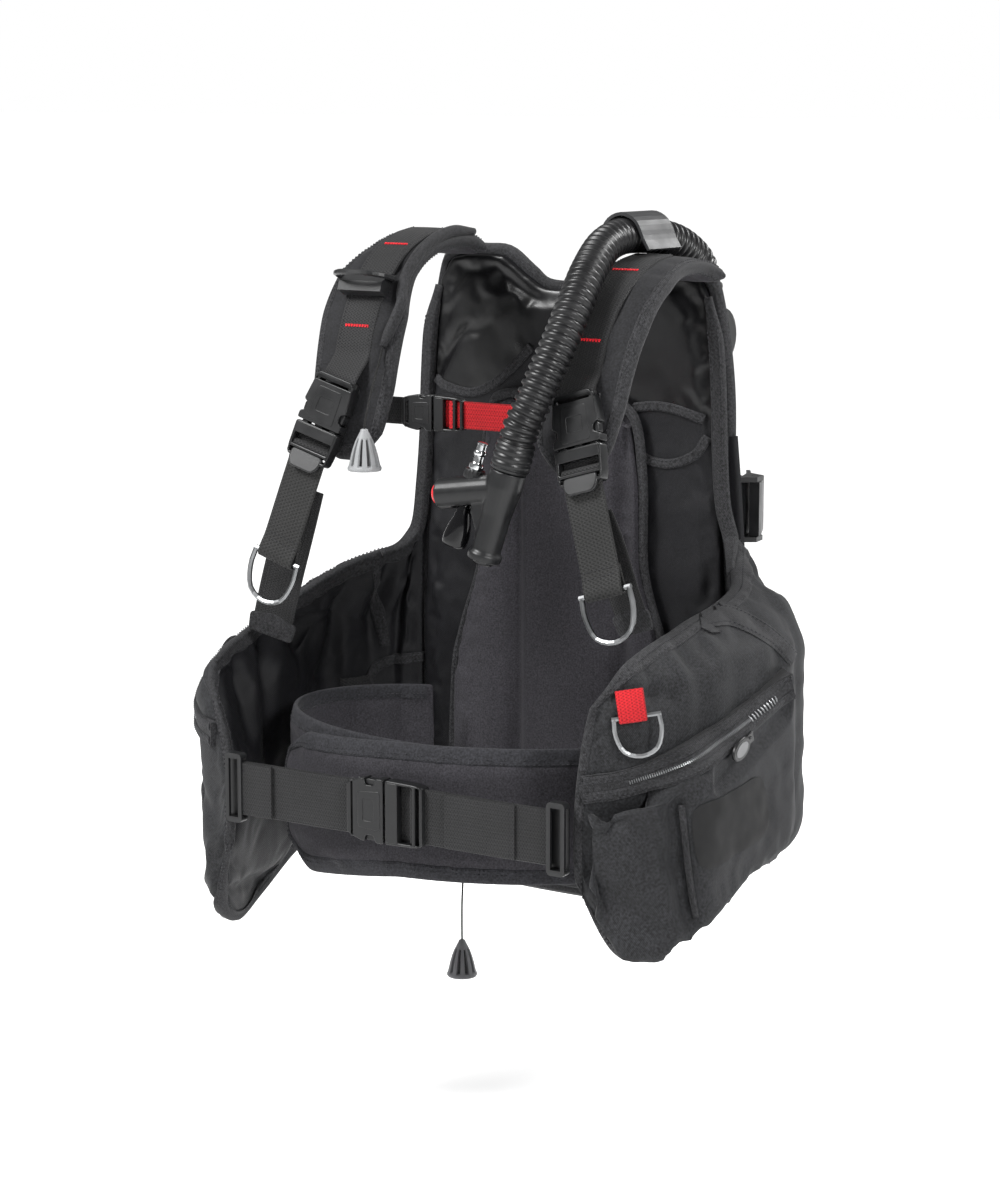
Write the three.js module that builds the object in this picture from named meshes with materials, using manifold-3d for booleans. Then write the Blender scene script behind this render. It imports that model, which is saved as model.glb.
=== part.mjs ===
// Buoyancy compensator vest (jacket style), in millimetres.
// +Z is up, -Y is where the wearer faces, +X is the wearer's left. The origin is where the shoulders
// carry the vest: midway between the undersides of the two shoulder pads.

import * as THREE from 'three';
import { mergeVertices } from 'three/addons/utils/BufferGeometryUtils.js';
import Module from 'manifold-3d';

const wasm = await Module();
wasm.setup();

// ---------------------------------------------------------------- driving dimensions

const GAP = 0.5; // clearance kept between touching pieces

// Air cell
const BACK_FRONT_Y = 42; // inner face of the back panel
const BACK_REAR_Y = 74; // outer face of the back panel
const LOBE_SEAM_X = 172; // where the side lobes are sewn to the back panel
const LEAN_FROM_Z = -330; // above this height the lobes lean inwards
const LEAN_RATE = 0.45; // mm of lean per mm of height

// Shoulder pads and harness webbing
const PAD_THICK = 16;
const HOSE_SAG = 17; // how far the hose presses the left pad down at the top
const WEB = 40; // harness webbing width
const WEB_THICK = 2.4;
const HARNESS_X = 123; // centre of the webbing sewn on the pads

// Chest and waist straps
const CHEST_WEB = 25;
const CHEST_Y = -121;
const CHEST_Z = -124;
const WAIST_WEB = 50;
const WAIST_Y = -263;
const WAIST_Z = -459;

// Cylinder band and plate
const TANK_RADIUS = 92;
const TANK_Y = 190;
const BAND_RADIUS = 97; // mid thickness of the band
const BAND_WIDTH = 50;
const BAND_THICK = 3;
const BAND_Z = -240;
const PLATE_Y = 74.5;

// Hose, cords and knobs
const HOSE_RADIUS = 16.5;
const CORD_RADIUS = 1;
const KNOB_HEIGHT = 38;
const KNOB_RADIUS = 15.5;

// The two sides are the wearer's.
const SIDES = [
  { name: 'left', sign: 1 },
  { name: 'right', sign: -1 },
];

// ---------------------------------------------------------------- materials

const look = (color, roughness, metalness = 0) => ({ color, roughness, metalness });
const FABRIC = look(0x26272a, 0.9);
const PADDING = look(0x34343a, 0.95);
const WEBBING = look(0x1b1c1e, 0.8);
const RED_WEBBING = look(0xb3161b, 0.75);
const PLASTIC = look(0x17181a, 0.45);
const RUBBER = look(0x1c1d1f, 0.6);
const GLOSS = look(0x0c0c0d, 0.15);
const RED_PLASTIC = look(0xc0161c, 0.35);
const CHROME = look(0xc9cccf, 0.15, 1);
const STEEL = look(0x9a9da1, 0.3, 1);
const GREY_RUBBER = look(0x8f9194, 0.6);

// ---------------------------------------------------------------- solids

const vest = new THREE.Group();

function add(name, geometry, material, matrix = new THREE.Matrix4()) {
  const mesh = new THREE.Mesh(geometry, new THREE.MeshStandardMaterial(material));
  mesh.name = name;
  mesh.applyMatrix4(matrix);
  vest.add(mesh);
}

function mirrored(geometry) {
  const twin = geometry.index ? geometry.clone() : mergeVertices(geometry);
  twin.scale(-1, 1, 1);
  const corners = twin.index.array;
  for (let i = 0; i < corners.length; i += 3) {
    [corners[i], corners[i + 1]] = [corners[i + 1], corners[i]];
  }
  return twin;
}

// Adds the piece drawn for the wearer's left, or its mirror image for the right.
function addSide(side, name, geometry, material, matrix = new THREE.Matrix4()) {
  const flip = new THREE.Matrix4().makeScale(-1, 1, 1);
  const own = side.sign > 0;
  const place = own ? matrix : flip.clone().multiply(matrix).multiply(flip);
  add(`${name}_${side.name}`, own ? geometry : mirrored(geometry), material, place);
}

function toSolid(geometry) {
  const bare = geometry.clone();
  bare.deleteAttribute('normal');
  bare.deleteAttribute('uv');
  const merged = mergeVertices(bare);
  const vertProperties = new Float32Array(merged.attributes.position.array);
  const triVerts = new Uint32Array(merged.index.array);
  return new wasm.Manifold(new wasm.Mesh({ numProp: 3, vertProperties, triVerts }));
}

function toGeometry(solid) {
  const mesh = solid.getMesh();
  const geometry = new THREE.BufferGeometry();
  geometry.setAttribute('position', new THREE.BufferAttribute(mesh.vertProperties, 3));
  geometry.setIndex(new THREE.BufferAttribute(mesh.triVerts, 1));
  return geometry;
}

const fuse = (first, ...rest) =>
  toGeometry(rest.reduce((whole, piece) => whole.add(toSolid(piece)), toSolid(first)));
const cut = (first, ...tools) =>
  toGeometry(tools.reduce((whole, tool) => whole.subtract(toSolid(tool)), toSolid(first)));
const common = (first, second) => toGeometry(toSolid(first).intersect(toSolid(second)));

// ---------------------------------------------------------------- outlines and extrusions

const vectors = (points) => points.map(([a, b]) => new THREE.Vector2(a, b));
const outline = (points) => new THREE.Shape(vectors(points));
const bothHalves = (points) => [...points, ...points.map(([a, b]) => [-a, b]).reverse()];

const smooth = (points, steps) => new THREE.SplineCurve(vectors(points)).getSpacedPoints(steps);

// A strip of cloth or webbing seen edge-on: the curve, widened to each side of itself.
function ribbon(points, steps, leftSide, rightSide) {
  const middle = smooth(points, steps);
  const leftEdge = [];
  const rightEdge = [];
  middle.forEach((point, i) => {
    const before = middle[Math.max(i - 1, 0)];
    const after = middle[Math.min(i + 1, steps)];
    const along = after.clone().sub(before).normalize();
    const t = i / steps;
    leftEdge.push([point.x - along.y * leftSide(t), point.y + along.x * leftSide(t)]);
    rightEdge.push([point.x + along.y * rightSide(t), point.y - along.x * rightSide(t)]);
  });
  return outline([...leftEdge, ...rightEdge.reverse()]);
}

const evenly = (value) => () => value;
const extrude = (shape, depth, curveSegments = 8) =>
  new THREE.ExtrudeGeometry(shape, { depth, bevelEnabled: false, curveSegments });

const X = new THREE.Vector3(1, 0, 0);
const Y = new THREE.Vector3(0, 1, 0);
const Z = new THREE.Vector3(0, 0, 1);
const SIDE_VIEW = new THREE.Matrix4().makeBasis(Y, Z, X);
const FRONT_VIEW = new THREE.Matrix4().makeBasis(X, Z, Y.clone().negate());

// Outline in X, Y, extruded along Z.
const planSolid = (shape, low, high) => extrude(shape, high - low).translate(0, 0, low);
// Outline in Y, Z, extruded along X.
const sideSolid = (shape, low, high) =>
  extrude(shape, high - low).applyMatrix4(SIDE_VIEW).translate(low, 0, 0);
// Outline in X, Z, extruded along Y.
const frontSolid = (shape, low, high, curveSegments = 8) =>
  extrude(shape, high - low, curveSegments).applyMatrix4(FRONT_VIEW).translate(0, high, 0);

const middle = (low, high) => (low + high) / 2;
const box = (x0, x1, y0, y1, z0, z1) =>
  new THREE.BoxGeometry(x1 - x0, y1 - y0, z1 - z0).translate(middle(x0, x1), middle(y0, y1), middle(z0, z1));

// A box with its four corners rounded, as seen along Y.
function roundedPlate(x0, x1, y0, y1, z0, z1, radius) {
  const shape = new THREE.Shape();
  shape.moveTo(x0 + radius, z0);
  shape.lineTo(x1 - radius, z0);
  shape.absarc(x1 - radius, z0 + radius, radius, -Math.PI / 2, 0);
  shape.lineTo(x1, z1 - radius);
  shape.absarc(x1 - radius, z1 - radius, radius, 0, Math.PI / 2);
  shape.lineTo(x0 + radius, z1);
  shape.absarc(x0 + radius, z1 - radius, radius, Math.PI / 2, Math.PI);
  shape.lineTo(x0, z0 + radius);
  shape.absarc(x0 + radius, z0 + radius, radius, Math.PI, Math.PI * 1.5);
  return frontSolid(shape, y0, y1, 4);
}

// A turned solid: [radius, height] pairs from the lower end of the axis to the upper one, about Z.
const turned = (profile, sides = 24) => new THREE.LatheGeometry(vectors(profile), sides).rotateX(Math.PI / 2);
const rod = (radius, low, high, sides = 16) =>
  turned([[0, low], [radius, low], [radius, high], [0, high]], sides);
const alongX = (geometry) => geometry.rotateY(Math.PI / 2);
const alongY = (geometry) => geometry.rotateX(-Math.PI / 2);

function tube(points, radius, steps, sides) {
  const path = new THREE.CatmullRomCurve3(points.map((point) => new THREE.Vector3(...point)));
  const section = new THREE.Shape();
  for (let i = 0; i < sides; i += 1) {
    const angle = (i / sides) * 2 * Math.PI;
    section[i ? 'lineTo' : 'moveTo'](radius * Math.cos(angle), radius * Math.sin(angle));
  }
  return new THREE.ExtrudeGeometry(section, { steps, extrudePath: path, bevelEnabled: false });
}

// A frame at a point with its local -Z along a direction and its local -Y facing out of the strap.
function strapFrame(origin, direction, facing = [0, -1, 0]) {
  const up = new THREE.Vector3(...direction).normalize().negate();
  const back = new THREE.Vector3(...facing).negate();
  back.addScaledVector(up, -back.dot(up)).normalize();
  const across = new THREE.Vector3().crossVectors(back, up);
  return new THREE.Matrix4().makeBasis(across, back, up).setPosition(...origin);
}

const at = (frame, x, y, z) => new THREE.Vector3(x, y, z).applyMatrix4(frame).toArray();

// ---------------------------------------------------------------- air cell and pockets

// Each side lobe is a pillow: a curved wall with a thin bound hem all round and air between its two skins.
// One row per station from the back seam to the front edge: X and Y of the inner skin at the waist, the
// height of the hem above it and below it, and the full thickness there.
const LOBE_STATIONS = [
  [LOBE_SEAM_X + GAP, 42, -229, -562, 16],
  [199, 38, -234, -552, 32],
  [219, 16, -251, -538, 38],
  [228, -22, -283, -522, 40],
  [231, -80, -307, -526, 40],
  [226, -140, -321, -550, 39],
  [214, -190, -331, -572, 36],
  [202, -226, -343, -562, 26],
  [186, -252, -372, -497, 9],
];
const LOBE_HEM = 10; // thickness of the bound edges
// How each lobe hangs: its top hem lifted, its bottom hem dropped, its front edge drawn towards the middle,
// and how fast that edge flares out above the waist strap.
const LOBE_SET = {
  left: { lift: 27, drop: 0, drawIn: 0, flareAbove: 0.0012 },
  right: { lift: -16, drop: 48, drawIn: 15, flareAbove: 0.0034 },
};
const FLARE_BELOW = 0.0012;
const LEVELS = [0, 0.05, 0.16, 0.36, 0.6, 0.82, 0.94, 1];

const stationCurve = (column) =>
  new THREE.CatmullRomCurve3(
    LOBE_STATIONS.map((row, i) => new THREE.Vector3(i / (LOBE_STATIONS.length - 1), row[column], 0)),
  );
const STATION_CURVES = [0, 1, 2, 3, 4].map((column) => stationCurve(column));
const station = (column, t) => STATION_CURVES[column].getPoint(t).y;

// A closed panel: t runs along it, v up it, and depth through it from the inner skin (0) to the outer (1).
function panel(along, upward, place) {
  const geometry = new THREE.BoxGeometry(1, 1, 1, along, 1, upward.length - 1);
  const points = geometry.attributes.position;
  for (let i = 0; i < points.count; i += 1) {
    const level = Math.round((points.getZ(i) + 0.5) * (upward.length - 1));
    const spot = place(points.getX(i) + 0.5, upward[level], points.getY(i) + 0.5);
    points.setXYZ(i, ...spot);
  }
  geometry.deleteAttribute('normal');
  geometry.deleteAttribute('uv');
  return mergeVertices(geometry);
}

// The air cell leans in above the waist, and its front edge is drawn in by the waist strap.
function lobePoint(side, t, v, outward, extra) {
  const { lift, drop, drawIn, flareAbove } = LOBE_SET[side.name];
  const step = 0.01; // for the direction along the wall
  const x = station(0, t);
  const y = station(1, t);
  const wall = (where) => new THREE.Vector2(station(0, where), station(1, where));
  const along = wall(Math.min(t + step, 1)).sub(wall(Math.max(t - step, 0))).normalize();
  const sag = drop * Math.sin(Math.PI * THREE.MathUtils.smoothstep(t, 0.05, 1.15));
  const top = station(2, t) + lift * THREE.MathUtils.smoothstep(t, 0.25, 0.6);
  const z = THREE.MathUtils.lerp(station(3, t) - sag - extra, top + extra, v);
  const plump = Math.min(Math.min(v, 1 - v) / 0.16, 1);
  const full = station(4, t);
  const thick = t === 0 ? full : THREE.MathUtils.lerp(Math.min(LOBE_HEM, full), full, Math.sqrt(plump));
  const reach = outward ? thick + extra : -extra;
  const beyond = t === 1 ? extra : 0;
  const lean = LEAN_RATE * Math.max(z - LEAN_FROM_Z, 0) * THREE.MathUtils.clamp((x - LOBE_SEAM_X) / 50, 0, 1);
  const fromStrap = z - WAIST_Z;
  const flare = t ** 4 * (fromStrap > 0 ? flareAbove : FLARE_BELOW) * fromStrap * fromStrap;
  const drawn = flare - lean - drawIn * t ** 3;
  return [x - along.y * reach + along.x * beyond + drawn, y + along.x * reach + along.y * beyond, z];
}

const lobePanel = (side, extra) =>
  panel(16, LEVELS, (t, v, depth) => lobePoint(side, t, v, depth > 0.5, extra));

function airCell() {
  const back = [
    [28, -20], [50, -9], [74, 3], [98, 1], [136, -2], [150, -24], [163, -110], [164, -236],
    [171, -340], [171, -560], [150, -592], [90, -602], [0, -604],
    [-90, -602], [-150, -592], [-171, -560], [-171, -340], [-164, -236], [-163, -110], [-150, -14],
    [-136, 9], [-98, 12], [-74, 10], [-50, -7], [-28, -20],
  ];
  // The edges of the back panel thin out towards their binding.
  const edge = 16;
  const rounding = { bevelThickness: 20, bevelSize: edge, bevelOffset: -edge, bevelSegments: 2 };
  const double = new THREE.ExtrudeGeometry(outline(back), { depth: 24, curveSegments: 8, ...rounding })
    .applyMatrix4(FRONT_VIEW)
    .translate(0, BACK_FRONT_Y + 12, 0);
  const rearHalf = box(-300, 300, BACK_FRONT_Y, BACK_REAR_Y + 10, -700, 100);
  add('bladder_back', common(double, rearHalf), FABRIC);

  SIDES.forEach((side) => addSide(side, 'bladder_lobe', lobePanel(side, 0), FABRIC));
}

const POCKET_SIDE_X = 292; // flat outer side of the cargo pockets

// The left pocket is full and boxy; the right one hangs flatter against its lobe.
const POCKET_PLANS = {
  left: [
    [204, -258], [236, -251], [268, -237], [284, -218], [POCKET_SIDE_X, -196], [POCKET_SIDE_X, -58],
    [284, -36], [250, -36], [246, -120], [232, -188], [205, -240],
  ],
  right: [
    [246, -198], [258, -190], [273, -164], [285, -138], [POCKET_SIDE_X, -112],
    [POCKET_SIDE_X, -58], [284, -36], [250, -36], [246, -120], [236, -178],
  ],
};

function pockets() {
  const side = [
    [-28, -336], [-219, -402], [-262, -441], [-262, -500], [-257, -540], [-250, -562], [-236, -566],
    [-222, -548], [-196, -538], [-28, -490],
  ];
  const corner = [
    [150, -300], [150, -470], [190, -490], [204, -524], [222, -552], [240, -570], [330, -600], [330, -300],
  ];
  SIDES.forEach((each) => {
    const plan = outline(POCKET_PLANS[each.name]);
    const bag = common(planSolid(plan, -585, -330), sideSolid(outline(side), 150, 320));
    const rounded = common(bag, frontSolid(outline(corner), -280, 0));
    addSide(each, 'pocket', cut(rounded, lobePanel(each, 0.8)), FABRIC);
  });
}

function backPad() {
  const half = [
    [58, -121], [80, -140], [88, -200], [90, -280], [112, -352], [122, -402], [124, -540], [104, -566],
    [40, -572],
  ];
  add('back_pad', frontSolid(outline(bothHalves(half)), 20, BACK_FRONT_Y - GAP), PADDING);
}

// ---------------------------------------------------------------- cummerbund

function wrap(from, to, halfWidth, halfDepth, thick) {
  const points = [];
  for (let i = 0; i <= 24; i += 1) {
    const angle = THREE.MathUtils.degToRad(from + ((to - from) * i) / 24);
    points.push([halfWidth * Math.cos(angle), -108 + halfDepth * Math.sin(angle)]);
  }
  return ribbon(points, 28, evenly(thick / 2), evenly(thick / 2));
}

function cummerbund() {
  const bandSide = outline([
    [0, -401], [320, -392], [320, -512], [0, -524], [-110, -540], [-150, -536], [-163, -515],
    [-171, -475], [-167, -440], [-152, -412],
  ]);
  const outer = common(planSolid(wrap(52, -142, 206, 134, 9), -560, -380), frontSolid(bandSide, -300, 60));
  add('cummerbund_left', outer, PADDING);

  const innerSide = outline([[-320, -400], [140, -405], [150, -425], [150, -500], [138, -516], [-320, -512]]);
  const inner = common(planSolid(wrap(128, 320, 192, 121, 8), -560, -380), frontSolid(innerSide, -300, 60));
  add('cummerbund_right', inner, PADDING);
}

// ---------------------------------------------------------------- shoulders

const PAD_CURVE = [
  [BACK_FRONT_Y - 4, 15], [20, 23], [-10, 25], [-40, 20], [-70, 7], [-95, -16], [-112, -42], [-124, -72],
  [-134, -105], [-142, -135], [-150, -170],
];

// The pad's middle line on one side: the hose presses the left one down over the shoulder.
function padCurve(side) {
  const sag = side.sign > 0 ? HOSE_SAG : 0;
  return PAD_CURVE.map(([y, z]) => [y, z - sag * THREE.MathUtils.clamp((z + 90) / 100, 0, 1)]);
}

function shoulderPads() {
  const front = outline([
    [92, 50], [88, -5], [78, -40], [78, -105], [84, -138], [98, -162], [120, -171], [140, -167],
    [156, -149], [166, -110], [172, -40], [171, -5], [160, 14], [154, 50],
  ]);
  SIDES.forEach((side) => {
    const strip = ribbon(padCurve(side), 22, evenly(PAD_THICK / 2), evenly(PAD_THICK / 2));
    const silhouette = frontSolid(front, -220, BACK_FRONT_Y - GAP);
    addSide(side, 'shoulder_pad', common(sideSolid(strip, 70, 190), silhouette), PADDING);
  });
}

// The webbing is sewn flat on top of the pad and runs down to the buckle.
const WEB_END = [-131.6, -98];

function shoulderWebs() {
  SIDES.forEach((side) => {
    const curve = [...padCurve(side).slice(2, 8), WEB_END];
    const near = PAD_THICK / 2 + 2 * GAP;
    const strip = ribbon(curve, 14, evenly(-near), evenly(near + WEB_THICK));
    addSide(side, 'shoulder_web', sideSolid(strip, HARNESS_X - WEB / 2, HARNESS_X + WEB / 2), WEBBING);
  });
}

// ---------------------------------------------------------------- release buckles

// Drawn with the strap along X and the webbing's width along Z. The two halves meet at x = 0: the socket
// half lies on the -X side and the pronged half on the +X side.
function releaseBuckle(web, thick, socketLength, barLength, prongLength) {
  const half = web / 2 + 4;
  const inner = half - 5;
  const roomY = thick / 2 - 2.4;
  const slotY = 1.9;
  const socket = cut(
    roundedPlate(-socketLength, 0, -thick / 2, thick / 2, -half, half, 4),
    box(-prongLength - 1.5, 1, -roomY, roomY, -inner, inner),
    box(-prongLength + 1, -prongLength + 11, -roomY, roomY, -half - 1, half + 1),
    box(-socketLength - 1, -socketLength + 8, -slotY, slotY, -web / 2 - 0.8, web / 2 + 0.8),
  );
  const prongY = roomY - 0.7;
  const prongs = [-1, 1].map((end) => {
    const edges = [end * (inner - 0.8), end * (inner - 0.8 - web * 0.16)].sort((a, b) => a - b);
    return box(-prongLength, 3, -prongY, prongY, ...edges);
  });
  const frame = cut(
    roundedPlate(GAP, barLength, -thick / 2, thick / 2, -half, half, 3),
    box(barLength - 11, barLength - 5, -thick, thick, -web / 2 - 0.8, web / 2 + 0.8),
    box(barLength - 12, barLength + 1, -slotY, slotY, -web / 2 - 0.8, web / 2 + 0.8),
  );
  const tongue = box(-prongLength + 2, 3, -prongY, prongY, -web * 0.1, web * 0.1);
  return { socket, prongs: fuse(frame, ...prongs, tongue) };
}

// A flat strip of webbing along X.
const strapX = (x0, x1, y, z, width) =>
  box(x0, x1, y - WEB_THICK / 2, y + WEB_THICK / 2, z - width / 2, z + width / 2);

// ---------------------------------------------------------------- shoulder buckles and lower straps

const BUCKLE_DIRECTION = [0.27, -0.26, -0.93];
const BUCKLE_JOIN = [139, -163, -139]; // where the two buckle halves meet, on the strap's middle line
const SOCKET_LENGTH = 48;
const MALE_LENGTH = 33;
const RELEASE_TRAVEL = 20;
const TAIL_DIRECTION = [0.3, -0.1, -0.95];
const TAIL_LENGTH = 94;
const RING_WIRE = 2.4;

// A D-ring hanging from the bar on its local X axis.
function dRing(barHalf, drop, wire) {
  const shoulder = drop * 0.4;
  const loop = tube(
    [
      [-barHalf, 0, 0], [-barHalf - 0.6, 0, -shoulder], [-barHalf * 0.72, 0, -drop * 0.85], [0, 0, -drop],
      [barHalf * 0.72, 0, -drop * 0.85], [barHalf + 0.6, 0, -shoulder], [barHalf, 0, 0],
    ],
    wire, 18, 6,
  );
  return fuse(alongX(rod(wire, -barHalf - wire, barHalf + wire, 6)), loop);
}

function shoulderStraps() {
  const buckle = releaseBuckle(WEB, 13, SOCKET_LENGTH, MALE_LENGTH, 21);
  const upright = new THREE.Matrix4().makeRotationY(Math.PI / 2); // strap along X becomes strap along -Z
  const tab = sideSolid(outline([[-6.5, -26], [-2, -26], [-5, -44], [-9, -44], [-10, -40]]), -18, 18);
  const socket = buckle.socket.clone().applyMatrix4(upright);
  const male = fuse(buckle.prongs.clone().applyMatrix4(upright), tab);
  const frame = strapFrame(BUCKLE_JOIN, BUCKLE_DIRECTION);
  const maleEnd = at(frame, 0, 4, -MALE_LENGTH);

  const tailTop = at(frame, 0, -1.2, -MALE_LENGTH - 1.2);
  const tailFrame = strapFrame(tailTop, TAIL_DIRECTION);
  const fold = 12;
  const tail = cut(
    fuse(
      box(-WEB / 2, WEB / 2, -WEB_THICK / 2, WEB_THICK / 2, -TAIL_LENGTH + 4, 0),
      box(-WEB / 2, WEB / 2, -4.8, 4.8, -TAIL_LENGTH - fold / 2, -TAIL_LENGTH + fold),
    ),
    alongX(rod(RING_WIRE + 0.8, -WEB, WEB, 12)).translate(0, 0, -TAIL_LENGTH),
  );
  const ringCentre = at(tailFrame, 0, 0, -TAIL_LENGTH);
  const ringFrame = strapFrame(ringCentre, TAIL_DIRECTION);

  SIDES.forEach((side) => {
    addSide(side, 'shoulder_buckle_female', socket, PLASTIC, frame);
    addSide(side, 'shoulder_buckle_male', male, PLASTIC, frame);
    addSide(side, 'strap_tail', tail, WEBBING, tailFrame);
    addSide(side, 'tail_ring', dRing(24.5, 44, RING_WIRE), STEEL, ringFrame);

    // The lower strap is sewn to the lobe's top hem. Its upper end keeps the buckle's travel clear.
    const [hemX, hemY, hemZ] = lobePoint(side, 0.66, 1, false, 0);
    const hem = new THREE.Vector3(hemX - WEB / 2 - 3, hemY, hemZ + 4);
    const start = new THREE.Vector3(...maleEnd);
    const along = hem.clone().sub(start);
    const from = start.addScaledVector(along.clone().normalize(), RELEASE_TRAVEL + 6);
    const lower = box(-WEB / 2, WEB / 2, -WEB_THICK / 2, WEB_THICK / 2, -hem.distanceTo(from), 0);
    const lowerFrame = strapFrame(from.toArray(), along.toArray(), [-0.3, -1, 0]);
    addSide(side, 'shoulder_strap_lower', lower, WEBBING, lowerFrame);
  });
}

// A slide on the right shoulder's webbing carries a moulded D-ring. The hose lies there on the left.
function shoulderRing() {
  const right = SIDES[1];
  const outlineOfSlide = outline([[0, 9], [-5, 9], [-9, 3], [-14, -6], [-11, -15], [0, -13]]);
  const [boreY, boreZ] = [-5.2, 3.6];
  const bore = alongX(rod(3.8, -40, 40, 12)).translate(0, boreY, boreZ);
  const slide = cut(sideSolid(outlineOfSlide, -24, 24), bore);
  const curve = smooth(padCurve(right), 60);
  const spot = curve.findIndex((point) => point.y < -17);
  const along = curve[spot + 1].clone().sub(curve[spot - 1]).normalize();
  const stand = PAD_THICK / 2 + WEB_THICK + 3 * GAP;
  const out = [0, along.y, -along.x];
  const origin = [HARNESS_X, curve[spot].x + out[1] * stand, curve[spot].y + out[2] * stand];
  const frame = strapFrame(origin, [0, along.x, along.y], out);
  addSide(right, 'shoulder_slide', slide, PLASTIC, frame);
  const ringFrame = frame.clone().multiply(new THREE.Matrix4().makeTranslation(0, boreY, boreZ));
  ringFrame.multiply(new THREE.Matrix4().makeRotationX(-1.15));
  addSide(right, 'shoulder_ring', dRing(27.6, 26, 2.8), PLASTIC, ringFrame);
}

// ---------------------------------------------------------------- chest and waist straps

function chestStrap() {
  const joinX = -41;
  const buckle = releaseBuckle(CHEST_WEB, 10, 34, 32, 18);
  const frame = new THREE.Matrix4().makeTranslation(joinX, CHEST_Y, CHEST_Z);
  add('chest_buckle_female', buckle.socket, PLASTIC, frame);
  add('chest_buckle_male', buckle.prongs, PLASTIC, frame);
  add('chest_strap_right', strapX(-112, joinX - 34 + 7, CHEST_Y, CHEST_Z, CHEST_WEB), WEBBING);
  add('chest_strap_left', strapX(joinX + 32 - 7, 112, CHEST_Y, CHEST_Z, CHEST_WEB), RED_WEBBING);
}

const WAIST_RING_X = { left: 180, right: 164 }; // where the rings sit on the front edges of the lobes

function waistStrap() {
  const joinX = 4;
  const buckle = releaseBuckle(WAIST_WEB, 14, 40, 40, 24);
  const frame = new THREE.Matrix4().makeTranslation(joinX, WAIST_Y, WAIST_Z);
  add('waist_buckle_female', buckle.socket, PLASTIC, frame);
  add('waist_buckle_male', buckle.prongs, PLASTIC, frame);
  const strap = (from, to) => strapX(from, to, WAIST_Y, WAIST_Z, WAIST_WEB);
  const intoBuckle = 33; // from the join to the strap's end inside either half
  add('waist_strap_right', strap(-WAIST_RING_X.right + 3, joinX - intoBuckle), WEBBING);
  add('waist_strap_left', strap(joinX + intoBuckle, WAIST_RING_X.left - 7), WEBBING);

  // A rectangular ladder ring at each lobe's front edge, which the strap runs through.
  const ring = cut(
    roundedPlate(-9, 9, -6, 3.4, -WAIST_WEB / 2 - 7, WAIST_WEB / 2 + 7, 4),
    box(-10, 10, -3, 1.6, -WAIST_WEB / 2 - 2, WAIST_WEB / 2 + 2),
    box(-5, 5, -8, 0, -WAIST_WEB / 2 - 2, WAIST_WEB / 2 + 2),
  );
  SIDES.forEach((side) => {
    const place = new THREE.Matrix4().makeTranslation(WAIST_RING_X[side.name], WAIST_Y + 0.7, WAIST_Z);
    addSide(side, 'waist_ring', ring, PLASTIC, place);
  });
}

// ---------------------------------------------------------------- hose and inflator

const ELBOW = [116, 101, -62];
const HOSE_ROUTE = [
  [114, 100.5, -33], [114, 99.5, -17], [112, 88, 7], [108, 62, 24], [103, 33, 32], [99, 3, 35],
  [97, -28, 34.5], [99.5, -61, 27], [106, -96.5, 8], [111.5, -126, -16], [111, -147.5, -44],
  [105.5, -165.5, -75.5], [98.5, -177.5, -103], [91, -182.4, -122], [87.3, -183.8, -135.9],
];
const INFLATOR_TILT = 0.26; // lean of the inflator's column, radians about Y
const COLLAR_LENGTH = 26;
const COLUMN_LENGTH = 82;
const BAR_LENGTH = 66;
const BAR_DROOP = 0.4; // the crossbar slopes down from square to the column, radians

function hose() {
  add('inflator_hose', tube(HOSE_ROUTE, HOSE_RADIUS, 36, 10), RUBBER);

  // Elbow fitting on the back panel: base flange, neck, round cap and the socket that takes the hose.
  const [x, y, z] = ELBOW;
  const flange = alongY(rod(21, 0, 4)).translate(x - 12, BACK_REAR_Y + GAP, z);
  const neck = alongY(rod(15, 0, y - BACK_REAR_Y)).translate(x - 10, BACK_REAR_Y + 1, z);
  const capProfile = [[0, -20], [17, -20], [19, 9], [26, 11], [26, 17], [20, 20], [0, 20]];
  const cap = alongX(turned(capProfile)).translate(x, y, z);
  const stub = rod(18.5, z, HOSE_ROUTE[0][2] - 2, 16).translate(x - 2, y - 0.5, 0);
  add('hose_elbow', fuse(flange, neck, cap, stub), PLASTIC);

  // Sewn flap that holds the hose on top of the shoulder: an arch across the hose.
  const arch = ribbon(
    [[-29, -13], [-25, -1], [-16, 16], [0, 22.5], [16, 16], [25, 0], [31, -9]],
    20, evenly(1.5), evenly(1.5),
  );
  const across = new THREE.Matrix4().makeRotationZ(-0.12).setPosition(98.5, 0, 32.5);
  add('hose_flap', frontSolid(arch, -24, 24).applyMatrix4(across), RUBBER);
}

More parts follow.
